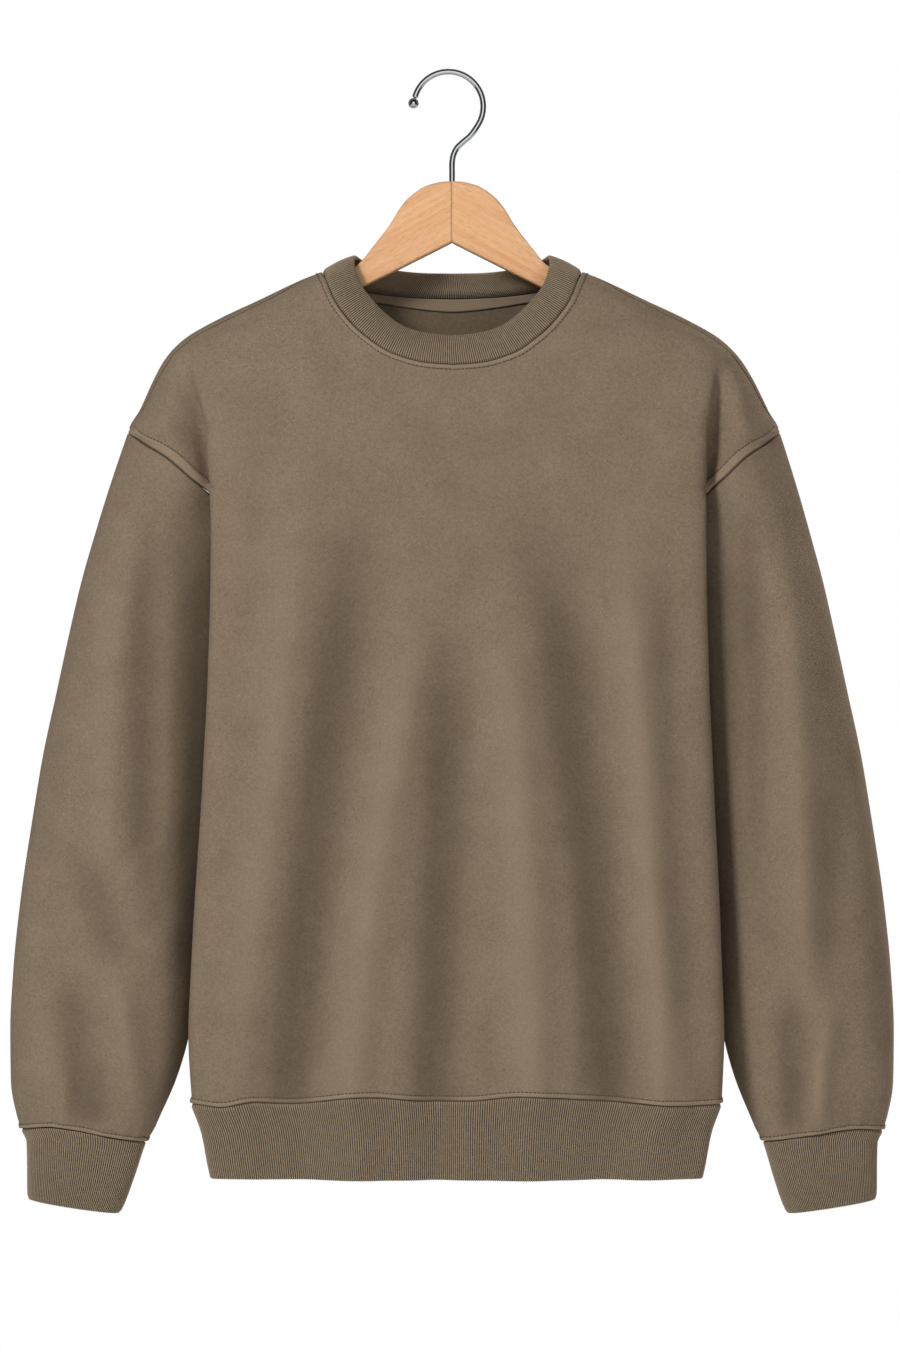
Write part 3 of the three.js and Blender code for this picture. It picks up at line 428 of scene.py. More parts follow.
# Body surface: mark 0 to 6 counts along the half section at height z, negative on the left, and
# marks over 6 count back along the other panel's half section
def bodyPoint(side, mark, z):
    mark, z = np.broadcast_arrays(mark, z)
    beyond = np.abs(mark) > 6
    if beyond.any():
        point = bodyPoint(side, np.clip(mark, -6, 6), z)
        back = np.sign(mark[beyond]) * (12 - np.abs(mark[beyond]))
        point[beyond] = bodyPoint(-side, back, z[beyond])
        return point
    points = sectionPoints(side, z.ravel())
    count = np.minimum(np.abs(mark.ravel()), 5.999999)
    i = np.floor(count).astype(int)
    place = np.arange(count.size)
    near = [points[i + k, place] for k in range(4)]
    point = curvePoint(*near, count - i)
    x = np.where(mark.ravel() < 0, -1.0, 1.0) * point[:, 0]
    inside = 1 - smoothStep(np.abs(mark.ravel()), 2.4, 3.2)
    lift = foldLift(frontFolds if side < 0 else backFolds, x, z.ravel())
    y = point[:, 1] + side * inside * lift
    return np.stack([x, y, z.ravel()], -1).reshape(mark.shape + (3,))


def gridNormals(grid, closed, outward):
    along = np.gradient(grid, axis=0)
    if closed:
        across = np.roll(grid, -1, axis=1) - np.roll(grid, 1, axis=1)
    else:
        across = np.gradient(grid, axis=1)
    return unit(np.cross(across, along) * outward)


# Cloth at a seam: it rolls in at the edge, stands up over the seam allowance as far as the
# topstitching, dips at the stitches and lies flat beyond
def seamProfile(distance, width=0.0):
    roll = -cloth["dip"] * np.exp(-(distance / cloth["roll"]) ** 2)
    if width == 0:
        return roll
    welt = smoothStep(distance, 0.3, 1.7) * (1 - smoothStep(distance, width - 0.5, width + 1.7))
    return roll + cloth["welt"] * welt - cloth["stitchDip"] * np.exp(-((distance - width) / 0.8) ** 2)


def lean(points):
    near = 1 - smoothStep(np.abs(points[..., 0]), 190, 300)
    shifted = points.copy()
    shifted[..., 0] += near * readTable(leanNames, leanRows, "shift", points[..., 2])
    return shifted


# The hem seam rises and falls a few millimetres; the back follows the front's wave mirrored
def waveHem(points):
    x, y, z = points[..., 0], points[..., 1], points[..., 2]
    near = smoothStep(-z, 735, 796) * (1 - smoothStep(-z, 802, 846))
    waved = points.copy()
    waved[..., 2] += near * readTable(waveNames, waveRows, "rise", np.where(y < 0, x, -x))
    return waved


# The cuff seams rise over the outer side of the wrist
def waveCuff(points):
    x, z = points[..., 0], points[..., 2]
    near = smoothStep(-z, 780, 820) * (1 - smoothStep(-z, 838, 870)) * smoothStep(np.abs(x), 228, 236)
    rise = readTable(cuffWaveNames, cuffWaveRows, "rise", np.abs(x))
    waved = points.copy()
    waved[..., 2] += near * rise * np.where(x < 0, 1.0, 0.75)
    return waved


# Faces between neighbouring rows and columns of a grid, and the grid place of each corner
def gridFaces(rows, columns, closedRows, closedColumns):
    i, j = np.meshgrid(np.arange(rows if closedRows else rows - 1),
                       np.arange(columns if closedColumns else columns - 1), indexing="ij")
    corners = [(i, j), (i, j + 1), (i + 1, j + 1), (i + 1, j)]
    places = np.stack([np.stack(corner, -1) for corner in corners], axis=2).reshape(-1, 4, 2)
    return (places[..., 0] % rows) * columns + places[..., 1] % columns, places


# Puts points and four-sided faces into a mesh object at the origin, with its faces outwards
def putMesh(name, points, faces, corners=None, layers=None):
    a, b, c, d = [points[faces[:, k]] for k in range(4)]
    volume = (np.cross(b, c) * a).sum() + (np.cross(c, d) * a).sum()
    if volume < 0:
        faces = faces[:, ::-1]
        corners = None if corners is None else corners[:, ::-1]
    mesh = bpy.data.meshes.new(name)
    mesh.vertices.add(len(points))
    mesh.vertices.foreach_set("co", (points * mm).astype(np.float32).ravel())
    mesh.loops.add(faces.size)
    mesh.loops.foreach_set("vertex_index", faces.astype(np.int32).ravel())
    mesh.polygons.add(len(faces))
    mesh.polygons.foreach_set("loop_start", np.arange(0, faces.size, 4, dtype=np.int32))
    mesh.polygons.foreach_set("use_smooth", np.ones(len(faces), bool))
    if corners is not None:
        uvLayer = mesh.uv_layers.new(name="clothUv")
        uvLayer.data.foreach_set("uv", (corners * mm).astype(np.float32).ravel())
    for layerName, values in (layers or {}).items():
        layer = mesh.attributes.new(layerName, "FLOAT", "POINT")
        layer.data.foreach_set("value", values.astype(np.float32).ravel())
    mesh.update(calc_edges=True)
    piece = bpy.data.objects.new(name, mesh)
    bpy.context.scene.collection.objects.link(piece)
    return piece


# Closed wall between an outer and an inner grid that are open on all four sides
def panelShell(name, outer, inner, uvGrid, layers):
    rows, columns = outer.shape[:2]
    faces = gridFaces(rows, columns, False, False)[0]
    count = rows * columns
    border = np.concatenate([
        np.arange(columns - 1),
        np.arange(rows - 1) * columns + columns - 1,
        (rows - 1) * columns + np.arange(columns - 1, 0, -1),
        np.arange(rows - 1, 0, -1) * columns,
    ])
    onward = np.roll(border, -1)
    rim = np.stack([onward, border, border + count, onward + count], -1)
    allFaces = np.concatenate([faces, faces[:, ::-1] + count, rim])
    points = np.concatenate([outer.reshape(-1, 3), inner.reshape(-1, 3)])
    uv = np.tile(uvGrid.reshape(-1, 2), (2, 1))
    doubled = {key: np.concatenate([value.ravel() for value in pair]) for key, pair in layers.items()}
    return putMesh(name, points, allFaces, uv[allFaces], doubled)


# Closed wall made of loops that follow each other over the outside and back up the inside
def loopShell(name, loops, uvGrid, layers):
    rows, columns = loops.shape[:2]
    faces, places = gridFaces(rows, columns, True, True)
    corners = uvGrid[places[..., 0] % rows, places[..., 1]]
    return putMesh(name, loops.reshape(-1, 3), faces, corners, layers)


def closeRing(grid):
    return np.concatenate([grid, grid[:, :1]], axis=1)


# Real distances across and along a grid, for patterns that follow the cloth
def clothUv(grid, closed):
    if closed:
        grid = closeRing(grid)
    across = lineLengths(grid)
    middle = lineLengths(grid[:, grid.shape[1] // 2][None])[0]
    return np.stack([across - across[:, grid.shape[1] // 2][:, None],
                     np.broadcast_to(middle[:, None], across.shape)], -1)


def gridArea(grid):
    diagonals = np.cross(grid[1:, 1:] - grid[:-1, :-1], grid[1:, :-1] - grid[:-1, 1:])
    return np.linalg.norm(diagonals, axis=-1).sum() / 2 * mm * mm


# Declares a finished piece: its body, the solid that it stands for and its finish
def finishPiece(piece, material, node=None):
    piece.data.materials.append(material)
    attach(piece, "root")
    if node:
        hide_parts(node)
    print(piece.name, "made:", len(piece.data.polygons), "faces")


# Materials

def hexColour(text):
    parts = [int(text[i:i + 2], 16) / 255 for i in (0, 2, 4)]
    linear = [p / 12.92 if p <= 0.04045 else ((p + 0.055) / 1.055) ** 2.4 for p in parts]
    return (*linear, 1.0)


# Adds a node with its settings, and gives its sockets values or links
def addNode(tree, kind, sockets=None, **settings):
    node = tree.nodes.new(kind)
    for key, value in settings.items():
        setattr(node, key, value)
    for key, value in (sockets or {}).items():
        if isinstance(value, bpy.types.NodeSocket):
            tree.links.new(value, node.inputs[key])
        else:
            node.inputs[key].default_value = value
    return node


# The nodes that materials use most, each giving back its output
def noise(tree, vector, size, detail, **sockets):
    return addNode(tree, "ShaderNodeTexNoise", {
        "Vector": vector, "Scale": 1 / (size * mm), "Detail": detail, **sockets}).outputs["Fac"]


def remap(tree, value, low, high, toLow=0.0, toHigh=1.0):
    return addNode(tree, "ShaderNodeMapRange", {
        "Value": value, "From Min": low, "From Max": high, "To Min": toLow, "To Max": toHigh}).outputs[0]


def mixColours(tree, share, first, second):
    first, second = [hexColour(c) if isinstance(c, str) else c for c in (first, second)]
    return addNode(tree, "ShaderNodeMix", {0: share, 6: first, 7: second}, data_type="RGBA").outputs[2]


def calculate(tree, operation, *values):
    return addNode(tree, "ShaderNodeMath", dict(enumerate(values)), operation=operation).outputs[0]


# Sine of a distance, once up and down in each size
def waves(tree, distance, size):
    turn = calculate(tree, "MULTIPLY", distance, fullTurn / (size * mm))
    return calculate(tree, "SINE", turn)


def relief(tree, height, depth, **sockets):
    return addNode(tree, "ShaderNodeBump", {
        "Height": height, "Distance": depth * mm, **sockets}).outputs[0]


def objectPlace(tree):
    return addNode(tree, "ShaderNodeTexCoord").outputs["Object"]


def apart(tree, vector):
    return addNode(tree, "ShaderNodeSeparateXYZ", {"Vector": vector}).outputs


def clothAxes(tree):
    return apart(tree, addNode(tree, "ShaderNodeUVMap", uv_map="clothUv").outputs["UV"])


def pointValue(tree, name):
    return addNode(tree, "ShaderNodeAttribute", attribute_name=name).outputs["Fac"]


def newMaterial(name, **sockets):
    material = bpy.data.materials.new(name)
    material.use_nodes = True
    tree = material.node_tree
    tree.nodes.clear()
    surface = addNode(tree, "ShaderNodeBsdfPrincipled", sockets)
    addNode(tree, "ShaderNodeOutputMaterial", {"Surface": surface.outputs["BSDF"]})
    return material, tree, surface


def cottonMaterial(name, roughness, sheen, specular, **sockets):
    return newMaterial(name, **{"Roughness": roughness, "Sheen Weight": sheen,
                                "Specular IOR Level": specular, "IOR": 1.5, **sockets})


def connect(tree, surface, **outputs):
    for key, output in outputs.items():
        tree.links.new(output, surface.inputs[key.replace("_", " ")])


fleeceLook = {
    "light": "93826f",        # where the dye has washed out
    "dark": "796855",         # where it has stayed
    "wearAndRidgeLight": "a08d76",         # paler wear on the seam allowance's raised edge, and painted light on the ridges of folds
    "grooveShade": "41372c",       # painted shade down in the seams and stitch dips, in the troughs of folds and on the inside
    "ridgeLightShare": 0.35,         # how far a fold's ridge goes to the painted light
    "troughShadeShare": 0.48,          # how far its trough goes to the painted shade
    "cloudSize": 30.0,        # size of the dye's large clouds
    "mottleSize": 1.7,        # size of its fine mottling
    "waleSize": 1.15,         # one knitted column
    "courseSize": 0.85,       # one knitted row
    "knitDepth": 0.10,
    "fuzzSize": 0.7,
    "fuzzDepth": 0.16,
    "roughness": 0.93,
    "sheen": 0.22,
}


# Fleece, jersey-faced and garment dyed: matt cotton whose colour drifts in clouds and mottles.
# colour = dark to light by 0.2 cloud + 0.8 mottle, then to paler wear on the raised welt, to painted light
# on the ridges of folds, and to painted shade in the seam, in the troughs of folds and on the inside.
# height = knitDepth x stitch + fuzzDepth x fuzz, where stitch = the sine of the row's place plus
# the distance from its column's middle, so that the rows make small Vs.
def makeFleece():
    look = fleeceLook
    material, tree, surface = cottonMaterial(
        "fleece_jersey_face_garment_dyed", look["roughness"], look["sheen"], 0.25,
        **{"Sheen Roughness": 0.45, "Sheen Tint": hexColour(look["light"])})
    place = objectPlace(tree)
    cloud = noise(tree, place, look["cloudSize"], 3.0)
    mottle = noise(tree, place, look["mottleSize"], 5.0, Roughness=0.62, Distortion=1.2)
    drift = calculate(tree, "MULTIPLY_ADD", cloud, 0.2, calculate(tree, "MULTIPLY", mottle, 0.8))
    dyed = mixColours(tree, remap(tree, drift, 0.36, 0.64), look["dark"], look["light"])
    # the fold attribute paints light on fold ridges and shade in fold troughs and on the inside; the seam
    # attribute paints shade in the seam's roll and at the stitches
    seam, fold = pointValue(tree, "seam"), pointValue(tree, "fold")
    wearAndRidgeLight = mixColours(tree, remap(tree, seam, 0.35, 0.9, toHigh=0.45), dyed, look["wearAndRidgeLight"])
    # painted light on the ridges of folds
    ridgesLit = mixColours(tree, remap(tree, fold, 0.0, 0.9, toHigh=look["ridgeLightShare"]), wearAndRidgeLight, look["wearAndRidgeLight"])
    # painted shade: sunk is the seam's roll and stitch dips, trough the troughs of folds and the whole
    # inside
    sunk = remap(tree, seam, -0.15, -0.9, toHigh=0.75)
    trough = remap(tree, fold, 0.0, -1.0, toHigh=look["troughShadeShare"])
    colour = mixColours(tree, calculate(tree, "MAXIMUM", sunk, trough), ridgesLit, look["grooveShade"])

    axes = clothAxes(tree)
    column = calculate(tree, "PINGPONG", axes["X"], look["waleSize"] * mm / 2)
    slant = calculate(tree, "MULTIPLY", column, fullTurn / (look["waleSize"] * mm))
    phase = calculate(tree, "MULTIPLY_ADD", axes["Y"], fullTurn / (look["courseSize"] * mm), slant)
    knitted = relief(tree, calculate(tree, "SINE", phase), look["knitDepth"] / 2)
    fuzz = noise(tree, place, look["fuzzSize"], 4.0, Roughness=0.6)
    fuzzy = relief(tree, fuzz, look["fuzzDepth"], Normal=knitted)
    connect(tree, surface, Base_Color=colour, Normal=fuzzy)
    return material


ribLook = {
    "ridge": "a6947d",        # along the top of each rib
    "valleyShade": "352b21",       # painted shade between the ribs
    "faded": "9c8b77",        # where the dye has washed out
    "mottleSize": 4.0,
    "rowSize": 1.3,           # one knitted row along a rib
    "rowDepth": 0.12,
    "fuzzSize": 0.8,
    "fuzzDepth": 0.12,
}


# Rib knit, garment dyed: soft ridges with painted shade in the valleys, so the band reads as fine upright
# lines.
# colour = painted valley shade to ridge by the rib attribute, then to faded by the mottling noise.
# height = rowDepth x sine of the distance along the rib + fuzzDepth x fuzz
def makeRib():
    look = ribLook
    material, tree, surface = cottonMaterial(
        "rib_knit_garment_dyed", 0.94, 0.2, 0.25,
        **{"Sheen Roughness": 0.45, "Sheen Tint": hexColour(look["faded"])})
    place = objectPlace(tree)
    # painted shade: darker down in the valleys between the ribs
    knit = mixColours(tree, pointValue(tree, "ribTop"), look["valleyShade"], look["ridge"])
    mottle = noise(tree, place, look["mottleSize"], 5.0, Roughness=0.65)
    colour = mixColours(tree, remap(tree, mottle, 0.45, 0.75, toHigh=0.35), knit, look["faded"])
    knitted = relief(tree, waves(tree, clothAxes(tree)["Y"], look["rowSize"]), look["rowDepth"] / 2)
    fuzz = noise(tree, place, look["fuzzSize"], 4.0)
    fuzzy = relief(tree, fuzz, look["fuzzDepth"], Normal=knitted)
    connect(tree, surface, Base_Color=colour, Normal=fuzzy)
    return material


tapeLook = {"light": "a39179", "dark": "7d6c59", "twillSize": 0.9, "twillDepth": 0.15}


# Twill tape: fine slanting lines in a slightly darker brown.
# colour = dark to light by 0.5 + 0.5 sine of (across + along); height = twillDepth x the same sine
def makeTape():
    look = tapeLook
    material, tree, surface = cottonMaterial("cotton_twill_tape", 0.85, 0.15, 0.3)
    axes = clothAxes(tree)
    wave = waves(tree, calculate(tree, "ADD", axes["X"], axes["Y"]), look["twillSize"])
    share = calculate(tree, "MULTIPLY_ADD", wave, 0.5, 0.5)
    connect(tree, surface, Base_Color=mixColours(tree, share, look["dark"], look["light"]),
            Normal=relief(tree, wave, look["twillDepth"] / 2))
    return material


threadLook = {"light": "6a5c4b", "dark": "43382c", "twistSize": 0.5, "twistDepth": 0.06}


# Sewing thread: matt spun cotton with a twist.
# colour = dark to light by noise the size of the twist; height = twistDepth x that noise
def makeThread():
    look = threadLook
    material, tree, surface = cottonMaterial("sewing_thread_spun_cotton", 0.8, 0.15, 0.3)
    twist = noise(tree, objectPlace(tree), look["twistSize"], 2.0)
    connect(tree, surface, Base_Color=mixColours(tree, twist, look["dark"], look["light"]),
            Normal=relief(tree, twist, look["twistDepth"]))
    return material


woodLook = {
    "pale": "f2c396",
    "warm": "e0a270",
    "fleck": "bd8350",
    "slant": 29.0,            # degrees that the grain falls towards the shoulders
    "armsApart": 90.0,        # so the two arms show other parts of the grain
    "bandSize": 3.6,          # width of a growth band across the grain
    "bandLength": 150.0,
    "fleckSize": 0.45,        # beech's short dark flecks
    "fleckLength": 6.5,
    "grainDepth": 0.04,
}


# Beech, planed and varnished: pale wood with soft bands and short flecks under a thin clear coat.
# colour = pale to warm by noise stretched along the grain, then to fleck where a finer stretched
# noise is high. roughness and height follow the same fleck noise.
def makeWood():
    look = woodLook
    material, tree, surface = newMaterial("beech_planed_satin_varnish", **{
        "Coat Weight": 0.25, "Coat Roughness": 0.28, "Coat IOR": 1.5, "IOR": 1.5})
    axes = apart(tree, objectPlace(tree))
    outwards = calculate(tree, "ABSOLUTE", axes["X"])
    arm = calculate(tree, "SIGN", axes["X"])
    layer = calculate(tree, "MULTIPLY_ADD", arm, look["armsApart"] * mm, axes["Y"])
    level = addNode(tree, "ShaderNodeCombineXYZ", {"X": outwards, "Y": axes["Z"], "Z": layer})
    grain = addNode(tree, "ShaderNodeVectorRotate", {
        "Vector": level.outputs[0], "Angle": math.radians(look["slant"])}, rotation_type="Z_AXIS")

    def stretched(width, length, detail):
        scaled = addNode(tree, "ShaderNodeVectorMath", {
            0: grain.outputs[0], 1: [1 / (size * mm) for size in (length, width, width * 2)]},
            operation="MULTIPLY")
        return addNode(tree, "ShaderNodeTexNoise", {
            "Vector": scaled.outputs[0], "Scale": 1.0, "Detail": detail, "Distortion": 0.3}).outputs["Fac"]

    bands = stretched(look["bandSize"], look["bandLength"], 3.0)
    toned = mixColours(tree, remap(tree, bands, 0.22, 0.8), look["pale"], look["warm"])
    flecks = stretched(look["fleckSize"], look["fleckLength"], 1.0)
    colour = mixColours(tree, remap(tree, flecks, 0.55, 0.72, toHigh=0.6), toned, look["fleck"])
    connect(tree, surface, Base_Color=colour, Roughness=remap(tree, flecks, 0.3, 0.7, 0.42, 0.58),
            Normal=relief(tree, flecks, look["grainDepth"]))
    return material


chromeLook = {"bright": "cfd1d3", "dull": "b7babd", "smudgeSize": 9.0, "scratchSize": 0.35,
              "scratchDepth": 0.0003}


# Chromed steel, drawn wire: mirror-like, with faint smudges and hair scratches from handling.
# colour = dull to bright by the smudge noise; roughness = 0.06 to 0.16 by the same noise
def makeChrome():
    look = chromeLook
    material, tree, surface = newMaterial("chromed_steel_drawn_wire", Metallic=1.0)
    place = objectPlace(tree)
    smudge = noise(tree, place, look["smudgeSize"], 4.0)
    scratch = noise(tree, place, look["scratchSize"], 2.0)
    connect(tree, surface, Base_Color=mixColours(tree, smudge, look["dull"], look["bright"]),
            Roughness=remap(tree, smudge, 0.3, 0.7, 0.06, 0.16),
            Normal=relief(tree, scratch, look["scratchDepth"]))
    return material


fleece = makeFleece()
ribKnitMaterial = makeRib()
tape = makeTape()
thread = makeThread()
wood = makeWood()
chrome = makeChrome()
print("materials made")


# Body panels

bodyLook = {
    "columns": 200,
    "armholeColumns": 34,    # how many of them at each side may lie by an armhole
    "neckWelt": 4.5,         # topstitching below the collar seam
    "armholeWelt": 8.0,      # topstitching beside the armhole seam
    "hemWelt": 4.5,
    "hemPucker": [1.0, 24.0],        # height and reach of the gathers that the rib draws in
    "armholePucker": [0.7, 14.0],
    "corner": [84, 100],     # from the middle, where the shoulder seam comes in beside the collar
    "cornerLoss": 0.75,      # share of the collar's welt that is missing there
}


# Rows close together at the hem, the neckline and the shoulder tip, 4 mm apart elsewhere
def bodyHeights():
    low = hemZ + nearSeam
    sideRows = np.linspace(low[-1], underarmZ, 78)[1:]
    armholeRows = np.linspace(underarmZ, shoulderTipZ - 12, 46)[1:]
    tipRows = shoulderTipZ - np.array([9, 6, 3.6, 1.8, 0.6, 0.1, 0])
    shoulderRows = np.linspace(shoulderTipZ, neckZ - nearSeam[-1], 28)[1:]
    return np.concatenate([low, sideRows, armholeRows, tipRows, shoulderRows, neckZ - nearSeam[-2::-1]])


# Dense lines across a panel, one for each height
def bodyLines(side, heights):
    marks = np.linspace(0, 6, 260)
    onNeck = alongLine(smoothLine(neckSeam[side]), np.interp(marks, columnMarks, neckMarks))
    low, high = np.zeros_like(marks), np.full_like(marks, 6.0)
    for step in range(30):        # halves the range until the body is as wide as the neckline
        middle = (low + high) / 2
        short = bodyPoint(side, middle, onNeck[:, 1])[:, 0] < onNeck[:, 0]
        low, high = np.where(short, middle, low), np.where(short, high, middle)
    neckMark = np.append(high[:-1], 6.0)
    reach = (np.clip((heights - neckReachZ) / (neckZ - neckReachZ), 0, 1) ** 1.3)[:, None]
    mark = marks + (neckMark - marks) * reach ** 1.5
    z = heights[:, None] + (onNeck[:, 1] - neckZ) * reach
    mark = mark + (lastMark(side, heights[:, None]) - 6) * smoothStep(mark, 3, 6)
    mark = np.concatenate([-mark[:, :0:-1], mark], axis=1)
    z = np.concatenate([z[:, :0:-1], z], axis=1)
    return bodyPoint(side, mark, z)


def bodyPanel(side):
    heights = bodyHeights()
    lines = bodyLines(side, heights)
    total = lineLengths(lines)[:, -1]
    distances = seamSpacing(total, bodyLook["columns"])
    grid = readLines(lines, distances)
    upward = lineLengths(grid.transpose(1, 0, 2)).T
    return {
        "side": side, "grid": grid, "normal": gridNormals(grid, False, -side),
        "sideDepth": np.minimum(distances, total[:, None] - distances),
        "hemDepth": upward + cloth["ease"], "neckDepth": upward[-1] - upward + cloth["ease"],
        "hemLine": bodyLines(side, np.array([hemZ]))[0],
        "neckLine": bodyLines(side, np.array([neckZ]))[0],
        "width": total[heights < underarmZ].max(), "length": upward[-1].max(),
    }


panels = {-1: bodyPanel(-1), 1: bodyPanel(1)}
print("body surfaces worked out")

# Sleeves

sleeveLook = {
    "columns": 120,
    "rows": 160,
    "armholeRows": 26,       # how many of them lie by the armhole
    "cuffWelt": 4.5,
    "cuffPucker": [1.1, 20.0],       # height and reach of the gathers
    "armholePucker": [0.6, 12.0],
    "around": 450.0,         # roughly, for the gathers' spacing
    "underarmFade": 0.03,    # share of the way round where they fade at the underarm seam
}


# Folds of a sleeve towards the front; facing is 1 on its front, -1 on its back and 0 at its sides
def sleeveLift(handed, facing, x, z):
    lift = facing * foldLift(sleeveFolds[handed], x, z)
    lift += np.maximum(facing, 0) * foldLift(sleeveCreases[(handed, -1)], x, z)
    return lift - np.maximum(-facing, 0) * foldLift(sleeveCreases[(handed, 1)], x, z)


# Slanted ring: half runs from 0.5 at its outer end to -0.5 at its inner end
def slantedRing(value, half, y):
    x = (value["outerX"] + value["innerX"]) / 2 + half * (value["outerX"] - value["innerX"])
    z = (value["outerZ"] + value["innerZ"]) / 2 + half * (value["outerZ"] - value["innerZ"])
    return np.stack([x, y, z], -1)


# Sleeve surface: turn 0 is the outer end, a quarter turn the front, half a turn the inner end
def sleevePoint(handed, turn, ring):
    value = readAll(sleeveNames, sleeveRows, ring)
    start = dict(zip(sleeveNames, sleeveRows[0]))
    half, facing = np.cos(turn * fullTurn) / 2, np.sin(turn * fullTurn)
    first, here = [slantedRing(v, half, v["middleY"] - v["depth"] * facing) for v in (start, value)]
    point = here + value["armhole"][..., None] * (armholePoint(turn) - first)
    point[..., 0] *= handed
    point[..., 1] -= (1 - value["armhole"]) * sleeveLift(handed, facing, point[..., 0], point[..., 2])
    return point


def sleeveTube(handed):
    turns = np.arange(sleeveLook["columns"]) / sleeveLook["columns"]
    rings = np.linspace(0, lastRing, 420)
    turn, ring = np.meshgrid(turns, rings, indexing="ij")
    lines = sleevePoint(handed, turn, ring)
    total = lineLengths(lines)[:, -1]
    distances = seamSpacing(total, sleeveLook["rows"])
    grid = readLines(lines, distances).transpose(1, 0, 2)
    return {
        "handed": handed, "grid": grid, "turns": turns, "normal": gridNormals(grid, True, handed),
        "armDepth": distances.T, "cuffDepth": (total[:, None] - distances).T, "length": total.max(),
    }


sleeves = {-1: sleeveTube(-1), 1: sleeveTube(1)}
print("sleeve surfaces worked out")


farAway = 99.0       # stands for a depth too far from the armhole to matter


# At an armhole both walls roll in the same way, halfway between their own directions
def shareArmhole(handed):
    sleeve = sleeves[handed]
    line = armholeLine * [handed, 1, 1]
    column = -1 if handed > 0 else 0
    edges = np.concatenate([panels[side]["grid"][:, column] for side in (-1, 1)])
    edgeNormals = np.concatenate([panels[side]["normal"][:, column] for side in (-1, 1)])
    nearest = ((line[:, None] - edges[None]) ** 2).sum(-1).argmin(-1)
    ringNormals = readAt(armholeTurns, np.append(sleeve["turns"], 1.0), closeRing(sleeve["normal"])[0])
    return line, unit(soften(edgeNormals[nearest] + ringNormals, 20))


def blendToArmhole(grid, normal, near, handed):
    line, shared = shareArmhole(handed)
    points = grid[near]
    offset = ((points[:, None] - line[None]) ** 2).sum(-1)
    distance = np.sqrt(offset.min(-1))
    share = (1 - smoothStep(distance, 0.5, 5.0))[:, None]
    result = normal.copy()
    result[near] = unit(normal[near] * (1 - share) + shared[offset.argmin(-1)] * share)
    depth = np.full(grid.shape[:2], farAway)
    depth[near] = distance
    return result, depth


# Small gathers beside a rib: unevenly spaced waves that fade away from the seam
def pucker(position, depth, height, reach):
    wave = (np.cos(position / 3.7) + 0.8 * np.cos(position / 5.9 + 1.3)
            + 0.6 * np.cos(position / 2.6 + 0.4) * np.cos(position / 31.0))
    return height * 0.45 * wave * np.exp(-depth / reach) * smoothStep(depth, 0.5, 6.0)


def dressPanel(panel, name):
    side, grid, normal = panel["side"], panel["grid"], panel["normal"]
    x, z = grid[..., 0], grid[..., 2]
    armDepth = np.full(x.shape, farAway)
    for handed in (-1, 1):
        nearColumns = np.zeros(x.shape, bool)
        nearColumns[:, -bodyLook["armholeColumns"]:] = handed > 0
        nearColumns[:, :bodyLook["armholeColumns"]] = handed < 0
        near = nearColumns & (z > underarmZ - 20) & (z < shoulderTipZ + 20)
        normal, depth = blendToArmhole(grid, normal, near, handed)
        armDepth = np.minimum(armDepth, depth)
    onArmhole = smoothStep(z, underarmZ - 5, underarmZ)
    onArmhole *= 1 - smoothStep(z, shoulderTipZ, shoulderTipZ + 5)
    seam = onArmhole * seamProfile(armDepth, bodyLook["armholeWelt"])
    seam += (1 - onArmhole) * seamProfile(panel["sideDepth"])
    seam += seamProfile(panel["hemDepth"], bodyLook["hemWelt"])
    corner = 1 - bodyLook["cornerLoss"] * smoothStep(np.abs(x), *bodyLook["corner"])
    seam += corner * seamProfile(panel["neckDepth"], bodyLook["neckWelt"])
    lift = pucker(x + 40 * side, panel["hemDepth"], *bodyLook["hemPucker"])
    lift += pucker(z * 0.9 + x, armDepth, *bodyLook["armholePucker"])
    outer = lean(waveHem(grid + normal * (seam + lift)[..., None]))
    inner = lean(waveHem(grid + normal * (lift - cloth["fleece"])[..., None]))
    # painted light and shade: fold ridges are painted lighter, fold troughs and the whole inside darker
    foldLightAndShade = foldLift(frontFolds if side < 0 else backFolds, x, z) / cloth["foldHeight"]
    piece = panelShell(name + "_panel", outer, inner, clothUv(grid, False), {
        "seam": (seam, seam), "fold": (foldLightAndShade, np.full_like(foldLightAndShade, cloth["inside"]))})
    finishPiece(piece, fleece, name)
    panel.update(piece=piece, outer=outer, armDepth=armDepth, normal=normal)


